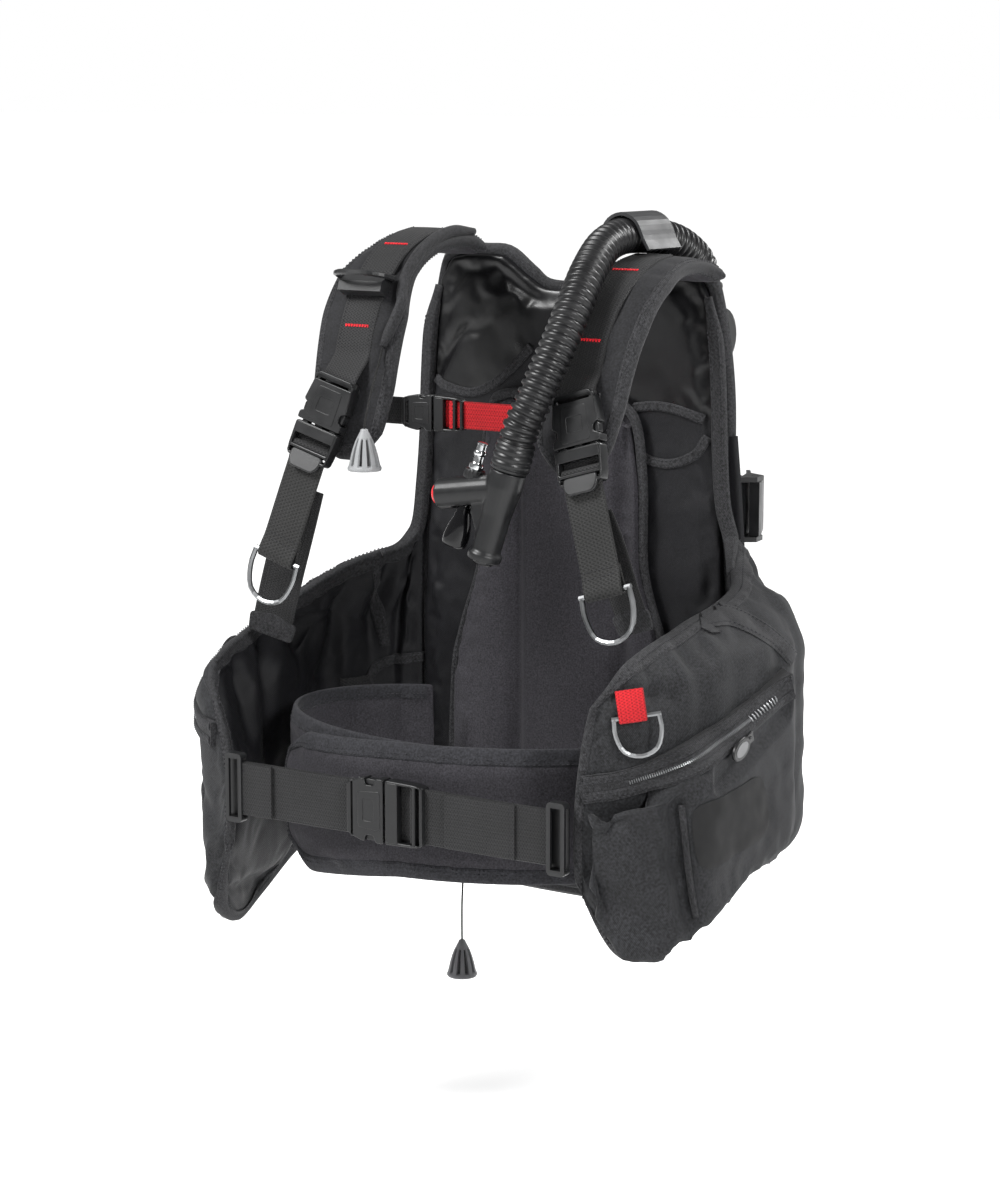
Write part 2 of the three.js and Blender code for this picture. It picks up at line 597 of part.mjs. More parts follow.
function inflator() {
  const hoseEnd = HOSE_ROUTE[HOSE_ROUTE.length - 1];
  const frame = new THREE.Matrix4().makeRotationFromEuler(new THREE.Euler(-0.1, INFLATOR_TILT, 0));
  frame.setPosition(...hoseEnd);
  const top = -COLLAR_LENGTH - GAP;
  const barZ = top - 16;

  const collar = turned([
    [0, -COLLAR_LENGTH], [16, -COLLAR_LENGTH], [17.5, -19], [16.6, -17.5], [17.5, -16], [17.5, -9],
    [16.6, -7.5], [17.5, -6], [17, -GAP], [0, -GAP],
  ], 16);
  add('hose_collar', collar, PLASTIC, frame);

  const low = top - COLUMN_LENGTH;
  const column = turned([
    [0, low], [15, low], [15.5, low + 6], [13, low + 9], [13.5, top - 40], [16.5, top - 14], [16, top],
    [0, top],
  ]);
  const barFrame = new THREE.Matrix4().makeRotationY(-BAR_DROOP).setPosition(0, 0, barZ);
  const crossbar = alongX(rod(14, -BAR_LENGTH, 4, 20)).applyMatrix4(barFrame);
  const inletX = -33;
  const inletZ = barZ + inletX * Math.tan(BAR_DROOP);
  const web = frontSolid(
    outline([[-9, top - 4], [-22, top - 12], [-22, top - 44], [-9, top - 62]]), -9, 9,
  );
  const body = cut(
    fuse(column, crossbar, web),
    alongX(rod(10.5, -BAR_LENGTH - 4, -BAR_LENGTH + 8, 20)).applyMatrix4(barFrame),
    rod(10.5, low - 2, low + 8, 20),
    rod(6.3, inletZ - 1, inletZ + 26, 12).translate(inletX, 0, 0),
    box(inletX - 9.6, inletX + 9.6, -6.2, 6.2, inletZ - 30, inletZ - 9),
  );
  add('inflator_body', body, PLASTIC, frame);

  const press = turned([[0, -4], [8, -4], [8, 0], [9.8, 0], [9.8, 3.6], [8.6, 5.5], [0, 6]], 20);
  const inflate = frame.clone().multiply(barFrame);
  inflate.multiply(new THREE.Matrix4().makeTranslation(-BAR_LENGTH, 0, 0));
  inflate.multiply(new THREE.Matrix4().makeRotationY(-Math.PI / 2));
  add('inflate_button', press.clone().translate(0, 0, -0.5), RED_PLASTIC, inflate);
  const deflate = frame.clone().multiply(new THREE.Matrix4().makeTranslation(0, 0, low));
  deflate.multiply(new THREE.Matrix4().makeRotationX(Math.PI));
  const cap = turned([[0, -4.4], [9.8, -4.4], [9.8, 1.4], [8.4, 3.4], [0, 3.8]], 20);
  add('deflate_button', cap, GLOSS, deflate);

  const nipple = turned([
    [0, 0], [5.8, 0], [5.8, 20], [8.6, 20], [8.6, 28], [5, 29.5], [4.6, 37], [5.8, 38], [5.8, 40], [4.4, 41],
    [4.4, 45], [0, 45],
  ], 14);
  const nippleFrame = frame.clone().multiply(new THREE.Matrix4().makeTranslation(inletX, 0, inletZ));
  add('lp_nipple', nipple, CHROME, nippleFrame);

  const lip = outline([
    [-5.6, 0], [5.6, 0], [5.6, -12], [11, -22], [13, -39], [9, -42], [-11, -41], [-13, -32], [-8, -20],
    [-5.6, -12],
  ]);
  const mouthFrame = frame.clone().multiply(new THREE.Matrix4().makeTranslation(inletX, 0, inletZ - 9.5));
  add('mouthpiece', sideSolid(lip, -9, 9), GLOSS, mouthFrame);
}

// ---------------------------------------------------------------- dump valves, cords and knobs

const knobProfile = [
  [0, -KNOB_HEIGHT], [KNOB_RADIUS - 2, -KNOB_HEIGHT], [KNOB_RADIUS, -KNOB_HEIGHT + 2.5],
  [KNOB_RADIUS - 2, -KNOB_HEIGHT * 0.55], [8, -KNOB_HEIGHT * 0.2], [3.4, -1], [0, -1],
];

function pullCord(name, route) {
  const end = route[route.length - 1];
  add(`${name}_pull_cord`, tube(route, CORD_RADIUS, 20, 8), WEBBING);
  add(`${name}_pull_knob`, turned(knobProfile, 20), GREY_RUBBER, new THREE.Matrix4().makeTranslation(...end));
}

const SHOULDER_CORD = [
  [-90.8, -132, -65], [-90.6, -134.4, -70], [-90.2, -137, -75], [-89.8, -140, -80], [-89.4, -143.2, -85],
  [-88.8, -146.6, -90], [-88.2, -150, -95], [-87.6, -153.4, -100], [-86.8, -156.8, -105], [-86, -160.2, -110],
  [-85.2, -163.4, -115], [-84.4, -166.4, -120], [-83.8, -169, -125], [-83.3, -171.4, -130.5],
  [-83, -173, -136],
];
const REAR_CORD = [
  [-146, 81, -573], [-146, 81.1, -581], [-146.2, 81.2, -589], [-146.5, 81.4, -597], [-146.8, 81.7, -605],
  [-147.1, 81.9, -613], [-147.5, 82, -621], [-147.9, 82, -629], [-148.2, 81.9, -637], [-148.5, 81.7, -645],
  [-148.6, 81.6, -653], [-148.5, 81.4, -661], [-148.4, 81.2, -669], [-148.3, 81.1, -677], [-148.2, 81, -686],
];

function dumpValves() {
  const profile = (radius) => [
    [0, 0], [radius, 0], [radius, 4], [radius - 3, 6], [radius - 4, 15], [radius - 7, 18], [0, 18],
  ];
  const valve = (x, z, radius) => alongY(turned(profile(radius))).translate(x, BACK_REAR_Y + GAP, z);
  add('shoulder_dump_valve', valve(-98, -62, 25), PLASTIC);
  const exit = REAR_CORD[0];
  const outlet = rod(3.6, exit[2] + GAP, -548, 12).translate(exit[0], exit[1], 0);
  add('rear_dump_valve', fuse(valve(-135, -544, 20), outlet), PLASTIC);

  // The shoulder valve's cord runs inside the pad and comes out at the end of a sleeve on its front.
  pullCord('shoulder', SHOULDER_CORD);
  pullCord('rear', REAR_CORD);
}

// ---------------------------------------------------------------- cylinder plate, band and cam buckle

function cylinderPlate() {
  const half = [[34, -86], [46, -104], [60, -150], [68, -230], [64, -330], [46, -402], [20, -412]];
  const plate = frontSolid(outline(bothHalves(half)), PLATE_Y, PLATE_Y + 6);
  const bumper = box(-14, 14, PLATE_Y + 5, TANK_Y - TANK_RADIUS, -400, -120);
  const rail = outline([[26, 79], [54, 79], [54, 114.5], [47, 112], [34, 104.6], [26, 101.6]]);
  const rails = [planSolid(rail, -396, -130), mirrored(planSolid(rail, -396, -130))];
  const [slotLow, slotHigh] = [BAND_Z - BAND_WIDTH / 2 - 2, BAND_Z + BAND_WIDTH / 2 + 2];
  const bandSlot = box(-90, 90, 90.5, 120, slotLow, slotHigh);
  const sideSlots = box(-90, 90, PLATE_Y + 6.2, 120, slotLow, slotHigh);
  const slotted = cut(fuse(plate, ...rails), sideSlots);
  const whole = fuse(slotted, cut(bumper, bandSlot));
  const handleHoles = [-1, 1].map((end) => box(end * 29 - 6, end * 29 + 6, 70, 90, -101, -93));
  add('backpack_plate', cut(whole, ...handleHoles), PLASTIC);

  const grip = ribbon(
    [
      [-29, -100], [-29.5, -86], [-26, -66], [-13, -52], [0, -49], [13, -52], [26, -66], [29.5, -86],
      [29, -100],
    ],
    24, evenly(4), evenly(4),
  );
  add('carry_handle', frontSolid(grip, PLATE_Y + 6.5, PLATE_Y + 14), WEBBING);
}

function tankBand() {
  const arc = (from, to, radius, steps) => {
    const points = [];
    for (let i = 0; i <= steps; i += 1) {
      const angle = THREE.MathUtils.degToRad(from + ((to - from) * i) / steps);
      points.push([radius * Math.cos(angle), TANK_Y + radius * Math.sin(angle)]);
    }
    return points;
  };
  const inner = BAND_RADIUS - BAND_THICK / 2;
  const outer = BAND_RADIUS + BAND_THICK / 2;
  const open = outline([...arc(24, 366, outer, 44), ...arc(24, 366, inner, 44).reverse()]);
  add('tank_band', planSolid(open, BAND_Z - BAND_WIDTH / 2, BAND_Z + BAND_WIDTH / 2), WEBBING);

  // The cam buckle closes the band: a curved base with two cheeks, and a lever turning on its pin.
  const base = outline([...arc(-2, 36, outer + 4.5, 8), ...arc(-2, 36, outer + 0.6, 8).reverse()]);
  const tall = BAND_WIDTH / 2 + 7;
  const pivotAngle = THREE.MathUtils.degToRad(12);
  const pivot = [outer + 13, 0];
  const turnTo = new THREE.Matrix4().makeRotationZ(pivotAngle).setPosition(0, TANK_Y, 0);
  const cheek = outline([[outer + 2, -16], [outer + 18, -9], [outer + 19, 9], [outer + 2, 22]]);
  const cheeks = [[-tall, -tall + 5], [tall - 5, tall]].map(([low, high]) =>
    planSolid(cheek, BAND_Z + low, BAND_Z + high).applyMatrix4(turnTo));
  const pinBores = rod(3.4, BAND_Z - tall - 2, BAND_Z + tall + 2, 12);
  pinBores.translate(...pivot, 0).applyMatrix4(turnTo);
  const body = cut(fuse(planSolid(base, BAND_Z - tall, BAND_Z + tall), ...cheeks), pinBores);
  add('cam_buckle_body', body, PLASTIC);

  const leverTall = tall - 5 - GAP;
  const arm = outline([[-5, -5.5], [5, -6.5], [6.5, 6], [5.5, 44], [2, 52], [-1.5, 50], [-4, 8]]);
  const pin = rod(2.8, -tall, tall, 12);
  const lever = fuse(planSolid(arm, -leverTall, leverTall), pin);
  const leverFrame = turnTo.clone();
  leverFrame.multiply(new THREE.Matrix4().makeTranslation(...pivot, BAND_Z));
  leverFrame.multiply(new THREE.Matrix4().makeRotationZ(0.2));
  add('cam_lever', lever, PLASTIC, leverFrame);
}

// ---------------------------------------------------------------- pocket fittings

const ZIP_DIRECTION = [0, 0.945, 0.328];
const ZIP_SLIDERS = { left: [POCKET_SIDE_X + 1, -140, -382], right: [POCKET_SIDE_X + 1, -86, -363.3] };
const POCKET_RINGS = {
  left: { place: [242, -240, -350], facing: [0.52, -0.85, 0.15], down: [0.14, 0.05, -1] },
  right: { place: [POCKET_SIDE_X + 3.2, -84, -394], facing: [1, 0, 0], down: [0, 0, -1] },
};

function pocketFittings() {
  const along = new THREE.Vector3(...ZIP_DIRECTION).normalize();
  const across = new THREE.Vector3().crossVectors(X, along);
  const frame = new THREE.Matrix4().makeBasis(along, across, X);
  const sliderBody = planSolid(outline([[-7, -4], [7, -5], [7, 5], [-7, 4]]), 0, 3);
  const pull = extrude(new THREE.Shape().absellipse(-17, 0, 15, 9, 0, Math.PI * 2), 2.2).translate(0, 0, 1.6);
  SIDES.forEach((side) => {
    const sliderFrame = frame.clone().setPosition(...ZIP_SLIDERS[side.name]);
    addSide(side, 'zip_slider', fuse(sliderBody, pull), PLASTIC, sliderFrame);
    const { place, facing, down } = POCKET_RINGS[side.name];
    addSide(side, 'pocket_ring', dRing(19, 34, 2), STEEL, strapFrame(place, down, facing));
  });
}

airCell();
pockets();
backPad();
cummerbund();
shoulderPads();
shoulderWebs();
shoulderStraps();
shoulderRing();
chestStrap();
waistStrap();
hose();
inflator();
dumpValves();
cylinderPlate();
tankBand();
pocketFittings();

export default vest;
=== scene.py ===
import math

import bpy
import numpy as np
from mathutils import Euler, Matrix, Vector, noise
from mathutils.bvhtree import BVHTree


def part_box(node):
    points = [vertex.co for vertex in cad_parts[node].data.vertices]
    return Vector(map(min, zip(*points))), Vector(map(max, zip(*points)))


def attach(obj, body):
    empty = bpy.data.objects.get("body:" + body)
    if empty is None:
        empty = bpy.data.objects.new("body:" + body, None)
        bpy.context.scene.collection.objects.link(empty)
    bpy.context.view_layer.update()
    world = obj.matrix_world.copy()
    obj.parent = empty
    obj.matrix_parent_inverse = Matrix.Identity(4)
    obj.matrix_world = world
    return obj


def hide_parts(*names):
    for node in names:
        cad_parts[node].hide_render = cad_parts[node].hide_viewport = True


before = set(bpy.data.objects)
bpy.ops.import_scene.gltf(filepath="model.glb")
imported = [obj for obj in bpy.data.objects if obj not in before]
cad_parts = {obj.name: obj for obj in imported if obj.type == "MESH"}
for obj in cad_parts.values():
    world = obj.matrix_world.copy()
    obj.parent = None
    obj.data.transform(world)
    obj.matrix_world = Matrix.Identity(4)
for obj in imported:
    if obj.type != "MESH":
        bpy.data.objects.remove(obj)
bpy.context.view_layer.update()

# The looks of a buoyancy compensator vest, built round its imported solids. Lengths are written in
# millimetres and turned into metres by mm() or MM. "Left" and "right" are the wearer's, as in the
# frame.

MM = 0.001
scene = bpy.context.scene
scene.view_settings.view_transform = "Standard"
FORWARD = Vector((0, -1, 0))  # the way the vest faces


def mm(x, y, z):
    return Vector((x, y, z)) * MM


def lerp(a, b, t):
    return a + (b - a) * t


def bell(x, centre, width):
    return math.exp(-(((x - centre) / width) ** 2))


def smoothstep(x, low, high):
    t = min(max((x - low) / (high - low), 0), 1)
    return t * t * (3 - 2 * t)


def linked(name, data):
    """A new object in the scene."""
    made = bpy.data.objects.new(name, data)
    scene.collection.objects.link(made)
    return made


def look_along(thing, direction):
    thing.rotation_mode = "QUATERNION"
    thing.rotation_quaternion = Vector(direction).to_track_quat("-Z", "Y")


# ---------------------------------------------------------------- camera and light

CAMERA_AT = (1.4669, -2.33528, 0.17617)
CAMERA_AZIMUTH, CAMERA_PITCH = math.radians(33), math.radians(10)
CAMERA_LENS, CAMERA_SENSOR = 89.04, 36
BOUNCED_WHITE = 0.30  # how strongly the white world lights the vest, while the camera sees it at 1
SUN_POWER, SUN_SPREAD, SUN_DIRECTION = 3.3, math.radians(24), (0.55, 0.62, -0.95)

camera_data = bpy.data.cameras.new("camera")
camera_data.lens = CAMERA_LENS
camera_data.sensor_width = CAMERA_SENSOR
camera = linked("camera", camera_data)
camera.location = CAMERA_AT
look_along(camera, (
    -math.sin(CAMERA_AZIMUTH) * math.cos(CAMERA_PITCH),
    math.cos(CAMERA_AZIMUTH) * math.cos(CAMERA_PITCH),
    -math.sin(CAMERA_PITCH),
))
scene.camera = camera

world = bpy.data.worlds.new("studio")
world.use_nodes = True
backdrop = world.node_tree.nodes["Background"]
backdrop.inputs["Color"].default_value = (1, 1, 1, 1)
seen = world.node_tree.nodes.new("ShaderNodeLightPath").outputs["Is Camera Ray"]
strength = world.node_tree.nodes.new("ShaderNodeMapRange")
strength.inputs["To Min"].default_value = BOUNCED_WHITE
strength.inputs["To Max"].default_value = 1.0
world.node_tree.links.new(seen, strength.inputs["Value"])
world.node_tree.links.new(strength.outputs[0], backdrop.inputs["Strength"])
scene.world = world

sun_data = bpy.data.lights.new("window", "SUN")
sun_data.energy = SUN_POWER
sun_data.angle = SUN_SPREAD
look_along(linked("window", sun_data), SUN_DIRECTION)


def area_light(name, at, aim, size, power):
    data = bpy.data.lights.new(name, "AREA")
    data.shape = "DISK"
    data.size = size
    data.energy = power
    light = linked(name, data)
    light.location = at
    look_along(light, Vector(aim) - Vector(at))


area_light("key", (-1.5, -2.0, 2.0), (0, -0.1, -0.3), 0.8, 60)
area_light("fill", (2.6, -1.2, 1.1), (0, 0, -0.3), 0.8, 75)
area_light("rim", (1.2, 2.0, 1.6), (0, 0, -0.2), 1.0, 70)


# ---------------------------------------------------------------- materials


SPECULAR, CLOTH_SPECULAR, FLOOR_SPECULAR = 0.35, 0.22, 0.1
WEAVE_LEAN = math.radians(34)  # of a webbing's ribs, each way


class Look:
    """A material under construction: its node tree, with short names for the usual nodes."""

    def __init__(self, name, rough, metallic=0.0, **sockets):
        self.material = bpy.data.materials.new(name)
        self.material.use_nodes = True
        self.tree = self.material.node_tree
        self.shader = self.tree.nodes["Principled BSDF"]
        self.shader.inputs["Roughness"].default_value = rough
        self.shader.inputs["Metallic"].default_value = metallic
        self.shader.inputs["Specular IOR Level"].default_value = SPECULAR
        for key, value in sockets.items():
            self.shader.inputs[key.replace("_", " ")].default_value = value
        self.height = None

    def node(self, kind, inputs=None, **settings):
        made = self.tree.nodes.new("ShaderNode" + kind)
        for key, value in settings.items():
            setattr(made, key, value)
        for key, value in (inputs or {}).items():
            if hasattr(value, "is_linked"):
                self.tree.links.new(value, made.inputs[key])
            else:
                made.inputs[key].default_value = value
        return made

    def coordinates(self, kind="Object", turn=(0, 0, 0), scale=(1, 1, 1)):
        source = self.node("TexCoord").outputs[kind]
        return self.node(
            "Mapping", {"Vector": source, "Rotation": turn, "Scale": scale}
        ).outputs[0]

    def noise(self, where, scale, detail=2.0):
        made = self.node("TexNoise", {"Vector": where, "Scale": scale, "Detail": detail})
        return made.outputs["Fac"]

    def wave(self, where, period, direction="X", distortion=0.0):
        # A band texture repeats each 2 pi / (20 * scale) units.
        made = self.node(
            "TexWave",
            {"Vector": where, "Scale": math.pi / (10 * period * MM), "Distortion": distortion},
            bands_direction=direction,
        )
        return made.outputs["Fac"]

    def math(self, operation, a, b):
        return self.node("Math", {0: a, 1: b}, operation=operation).outputs[0]

    def span(self, value, low, high, to_low, to_high):
        return self.node(
            "MapRange",
            {"Value": value, "From Min": low, "From Max": high,
             "To Min": to_low, "To Max": to_high},
        ).outputs[0]

    def paint(self, color):
        """The base colour, times a grey signal."""
        self.color = self.node("RGB").outputs[0]
        self.color.default_value = (*color, 1)
        return self

    def shade(self, factor):
        mix = self.node(
            "Mix", {0: 1.0, 6: self.color, 7: factor}, data_type="RGBA", blend_type="MULTIPLY"
        )
        self.color = mix.outputs[2]
        return self

    def blend(self, factor, color):
        mix = self.node("Mix", {0: factor, 6: self.color, 7: (*color, 1)}, data_type="RGBA")
        self.color = mix.outputs[2]
        return self

    def bump(self, height, distance, strength=1.0):
        made = self.node(
            "Bump", {"Height": height, "Distance": distance * MM, "Strength": strength}
        )
        if self.height is not None:
            self.tree.links.new(self.height, made.inputs["Normal"])
        self.height = made.outputs[0]
        return self

    def rough(self, value):
        self.tree.links.new(value, self.shader.inputs["Roughness"])
        return self

    def done(self):
        self.tree.links.new(self.color, self.shader.inputs["Base Color"])
        if self.height is not None:
            self.tree.links.new(self.height, self.shader.inputs["Normal"])
        return self.material


def cloth_look(name, color, rough, grain, twill=None, sheen=0.04, patch=0.14,
               gloss=CLOTH_SPECULAR, speckle=0.55):
    """Woven cloth: yarn grain, broad shade changes and an optional twill of that period, in mm."""
    look = Look(name, rough, Sheen_Weight=sheen, Sheen_Roughness=0.5)
    look.shader.inputs["Specular IOR Level"].default_value = gloss
    where = look.coordinates()
    look.paint(color)
    broad = look.noise(where, 14, 3)
    look.shade(look.span(broad, 0.3, 0.7, 1 - patch, 1 + patch))
    fine = look.noise(where, 1000 / grain, 2)
    look.shade(look.span(fine, 0.3, 0.7, 1 - speckle, 1 + speckle))
    look.bump(fine, 0.35, 0.7)
    if twill:
        ribs = look.wave(where, twill, "DIAGONAL", 0.6)
        look.shade(look.span(ribs, 0, 1, 0.80, 1.18))
        look.bump(ribs, 0.2, 0.5)
    look.rough(look.span(fine, 0.3, 0.7, rough - 0.08, min(rough + 0.08, 1)))
    return look.done()


def webbing_look(name, color, rough=0.72, period=2.3, weave=3.4):
    """Webbing, with its length along V: ribs that cross both ways, broken by lengthwise yarns."""
    look = Look(name, rough, Sheen_Weight=0.04, Sheen_Roughness=0.45)
    look.shader.inputs["Specular IOR Level"].default_value = CLOTH_SPECULAR
    where = look.coordinates("UV")
    look.paint(color)
    up = look.wave(look.coordinates("UV", turn=(0, 0, WEAVE_LEAN)), period, "Y")
    down = look.wave(look.coordinates("UV", turn=(0, 0, -WEAVE_LEAN)), period, "Y")
    cells = look.math("MAXIMUM", up, down)
    yarn = look.wave(where, weave)
    height = look.math("ADD", look.math("MULTIPLY", cells, 0.75), look.math("MULTIPLY", yarn, 0.25))
    look.shade(look.span(height, 0.2, 1, 0.55, 1.35))
    broad = look.noise(look.coordinates(), 22, 3)
    look.shade(look.span(broad, 0.3, 0.7, 0.86, 1.14))
    look.bump(height, 0.5, 0.9)
    look.rough(look.span(height, 0, 1, rough + 0.1, rough - 0.1))
    return look.done()


def hard_look(name, color, rough, grain=0.8, depth=0.06, wear=0.35, worn=None, metallic=0.0):
    """Moulded plastic, rubber or metal: fine skin grain, smears in the gloss, and worn edges."""
    look = Look(name, rough, metallic)
    where = look.coordinates()
    look.paint(color)
    smear = look.noise(where, 45, 4)
    look.shade(look.span(smear, 0.3, 0.7, 0.88, 1.12))
    if wear:
        edge = look.node("NewGeometry").outputs["Pointiness"]
        edge = look.span(edge, 0.52, 0.62, 0, wear)
        amount = look.math("MULTIPLY", edge, look.noise(where, 160, 3))
        look.blend(amount, worn or tuple(min(c * 4 + 0.05, 1) for c in color))
    fine = look.noise(where, 1000 / grain, 2)
    look.bump(fine, depth, 0.6)
    look.rough(look.span(smear, 0.25, 0.75, max(rough - 0.07, 0.03), rough + 0.09))
    return look.done()


CORDURA = cloth_look("cordura", (0.0135, 0.0138, 0.0152), 0.80, 2.0, twill=1.2, speckle=0.75)
LINING = cloth_look("lining_twill", (0.0075, 0.0075, 0.0088), 0.56, 0.9, twill=1.1, sheen=0.0,
                    gloss=0.2)
FOAM_CLOTH = cloth_look("pad_cloth", (0.0235, 0.0222, 0.0262), 0.85, 1.5, patch=0.08)
MESH_CLOTH = cloth_look("pad_top", (0.0105, 0.0105, 0.0118), 0.82, 1.8, speckle=0.7)
BINDING = cloth_look("binding_tape", (0.0185, 0.0185, 0.0200), 0.78, 1.9, twill=1.3, speckle=0.8)
VELCRO = cloth_look("looped_tape", (0.020, 0.020, 0.023), 0.92, 1.9, patch=0.1)
WEBBING = webbing_look("webbing", (0.0135, 0.0135, 0.0140))
TAIL_WEBBING = webbing_look("coarse_webbing", (0.0155, 0.0155, 0.0152), period=3.0, weave=3.8)
RED_WEBBING = webbing_look("red_webbing", (0.34, 0.006, 0.010))
THREAD = cloth_look("thread", (0.024, 0.024, 0.027), 0.7, 0.6)
RED_THREAD = cloth_look("red_thread", (0.60, 0.01, 0.02), 0.6, 0.6)
VINYL = hard_look("glossy_lining", (0.0035, 0.0035, 0.004), 0.34, grain=2.5, depth=0.08, wear=0)
BLACK = (0.0065, 0.0067, 0.0072)
PLASTIC = hard_look("moulded_plastic", BLACK, 0.36, grain=0.7, depth=0.05, wear=0.2)
SATIN_PLASTIC = hard_look("satin_plastic", BLACK, 0.36, grain=0.6, depth=0.06, wear=0.25)
RUBBER = hard_look("hose_rubber", (0.0075, 0.0075, 0.008), 0.36, grain=1.2, depth=0.04, wear=0.1)
FLAP_RUBBER = hard_look("flap_rubber", (0.018, 0.0185, 0.0195), 0.5, grain=0.9, wear=0.1)
GLOSS = hard_look("glossy_plastic", (0.003, 0.003, 0.0035), 0.08, grain=3.0, depth=0.02, wear=0)
RED_PLASTIC = hard_look("red_button", (0.55, 0.008, 0.014), 0.25, grain=1.5, depth=0.03,
                        worn=(0.8, 0.3, 0.3))
CHROME = hard_look("chrome", (0.55, 0.56, 0.57), 0.12, grain=2.0, depth=0.02, wear=0.1,
                   worn=(0.5, 0.5, 0.5), metallic=1.0)
STEEL_GREY = (0.20, 0.205, 0.21)
STEEL = hard_look("steel_wire", STEEL_GREY, 0.36, grain=1.0, depth=0.04, wear=0.2,
                  worn=(0.6, 0.6, 0.6), metallic=1.0)
KNOB_GREY = hard_look("light_grey_rubber", (0.22, 0.225, 0.23), 0.48, grain=0.9,
                      worn=(0.5, 0.5, 0.5))
KNOB_DARK = hard_look("dark_grey_rubber", (0.10, 0.10, 0.105), 0.5, grain=0.9,
                      worn=(0.3, 0.3, 0.3))
# Near-black painted shade for the floors of the pull knobs' grooves.
SLOT_PAINTED_SHADE = hard_look("slot_shadow", (0.012, 0.012, 0.013), 0.6, wear=0)
PATCH_RUBBER = hard_look("patch_rubber", (0.0022, 0.0022, 0.0025), 0.75, depth=0.05, wear=0.05)
CORD = webbing_look("cord", (0.012, 0.012, 0.012), period=1.2, weave=1.5)
ZIP_TEETH = hard_look("zip_teeth", STEEL_GREY, 0.35, wear=0.2, metallic=0.6)
OVAL_GREY = hard_look("oval_grey", (0.13, 0.132, 0.135), 0.45, wear=0.2)


# ---------------------------------------------------------------- meshes


class Shape:
    """Vertices and faces gathered from several solids into one object."""

    def __init__(self):
        self.points, self.faces, self.uvs, self.slots = [], [], [], []

    def add(self, points, faces, uvs=None, slot=0, matrix=None):
        start = len(self.points)
        points = [Vector(p) for p in points]
        if matrix is not None:
            points = [matrix @ p for p in points]
        self.points += points
        for face in faces:
            self.faces.append([start + i for i in face])
            self.slots.append(slot)
            self.uvs.append([uvs[i] for i in face] if uvs else [(0, 0)] * len(face))
        return self

    def sweep(self, line, section, normals, closed=False):
        return self.add(*sweep(line, section, normals, closed))

    def build(self, name, looks, body=None, sharp=40, replaces=()):
        mesh = bpy.data.meshes.new(name)
        mesh.from_pydata([tuple(p) for p in self.points], [], self.faces)
        layer = mesh.uv_layers.new(name="UVMap")
        flat = [c for face in self.uvs for corner in face for c in corner]
        layer.data.foreach_set("uv", flat)
        for look in looks if isinstance(looks, (list, tuple)) else [looks]:
            mesh.materials.append(look)
        mesh.polygons.foreach_set("material_index", self.slots)
        mesh.polygons.foreach_set("use_smooth", [True] * len(mesh.polygons))
        mesh.validate()
        if sharp:
            mesh.set_sharp_from_angle(angle=math.radians(sharp))
        piece = linked(name, mesh)
        if body:
            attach(piece, body)
        if replaces:
            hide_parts(*replaces)
        return piece


def between(a, b, c, d, t):
    """A smooth step from b to c, at the share t of it, with a before it and d after it."""
    return 0.5 * (2 * b + (c - a) * t + (2 * a - 5 * b + 4 * c - d) * t * t
                  + (3 * b - 3 * c + d - a) * t ** 3)


def curve_through(points, step=0.004):
    """A smooth line through the points, in even steps."""
    ends = [2 * points[0] - points[1], *points, 2 * points[-1] - points[-2]]
    fine = []
    for a, b, c, d in zip(ends, ends[1:], ends[2:], ends[3:]):
        for k in range(12):
            t = k / 12
            fine.append(between(a, b, c, d, t))
    fine.append(points[-1].copy())
    return evenly(fine, step)


def evenly(line, step):
    lengths = [0.0]
    for a, b in zip(line, line[1:]):
        lengths.append(lengths[-1] + (b - a).length)
    count = max(2, round(lengths[-1] / step))
    out, k = [], 0
    for i in range(count + 1):
        target = lengths[-1] * i / count
        while k < len(line) - 2 and lengths[k + 1] < target:
            k += 1
        part = (target - lengths[k]) / max(lengths[k + 1] - lengths[k], 1e-9)
        out.append(line[k].lerp(line[k + 1], min(max(part, 0), 1)))
    return out


def directions(line):
    last = len(line) - 1
    return [(line[min(i + 1, last)] - line[max(i - 1, 0)]).normalized() for i in range(last + 1)]


def carried_normals(line, first):
    """Normals carried along the line without twisting, starting near the first one."""
    normals, current = [], Vector(first)
    for tangent in directions(line):
        current = (current - tangent * current.dot(tangent)).normalized()
        normals.append(current.copy())
    return normals


def sweep(line, section, normals, closed=False):
    """A section of (across, out) points, or a function of the station's index, along a line."""
    points, uvs, faces = [], [], []
    length, before = 0.0, line[0]
    for i, (at, tangent) in enumerate(zip(line, directions(line))):
        length += (at - before).length
        before = at
        normal = (normals[i] - tangent * normals[i].dot(tangent)).normalized()
        across = tangent.cross(normal)
        ring = section(i) if callable(section) else section
        around = 0.0
        for k, (a, b) in enumerate(ring):
            points.append(at + across * a + normal * b)
            if k:
                around += math.hypot(a - ring[k - 1][0], b - ring[k - 1][1])
            uvs.append((around, length))
    n = len(section(0) if callable(section) else section)
    rows = len(line)
    for i in range(rows - 1):
        for k in range(n):
            a, b = i * n + k, i * n + (k + 1) % n
            faces.append([a, b, b + n, a + n])
    if closed:
        for k in range(n):
            a, b = (rows - 1) * n + k, (rows - 1) * n + (k + 1) % n
            faces.append([a, b, (k + 1) % n, k])
    else:
        faces.append(list(range(n))[::-1])
        faces.append([(rows - 1) * n + k for k in range(n)])
    return points, faces, uvs


def circle(radius, sides=12, squash=1.0):
    angles = [2 * math.pi * k / sides for k in range(sides)]
    return [(radius * math.cos(a), radius * squash * math.sin(a)) for a in angles]


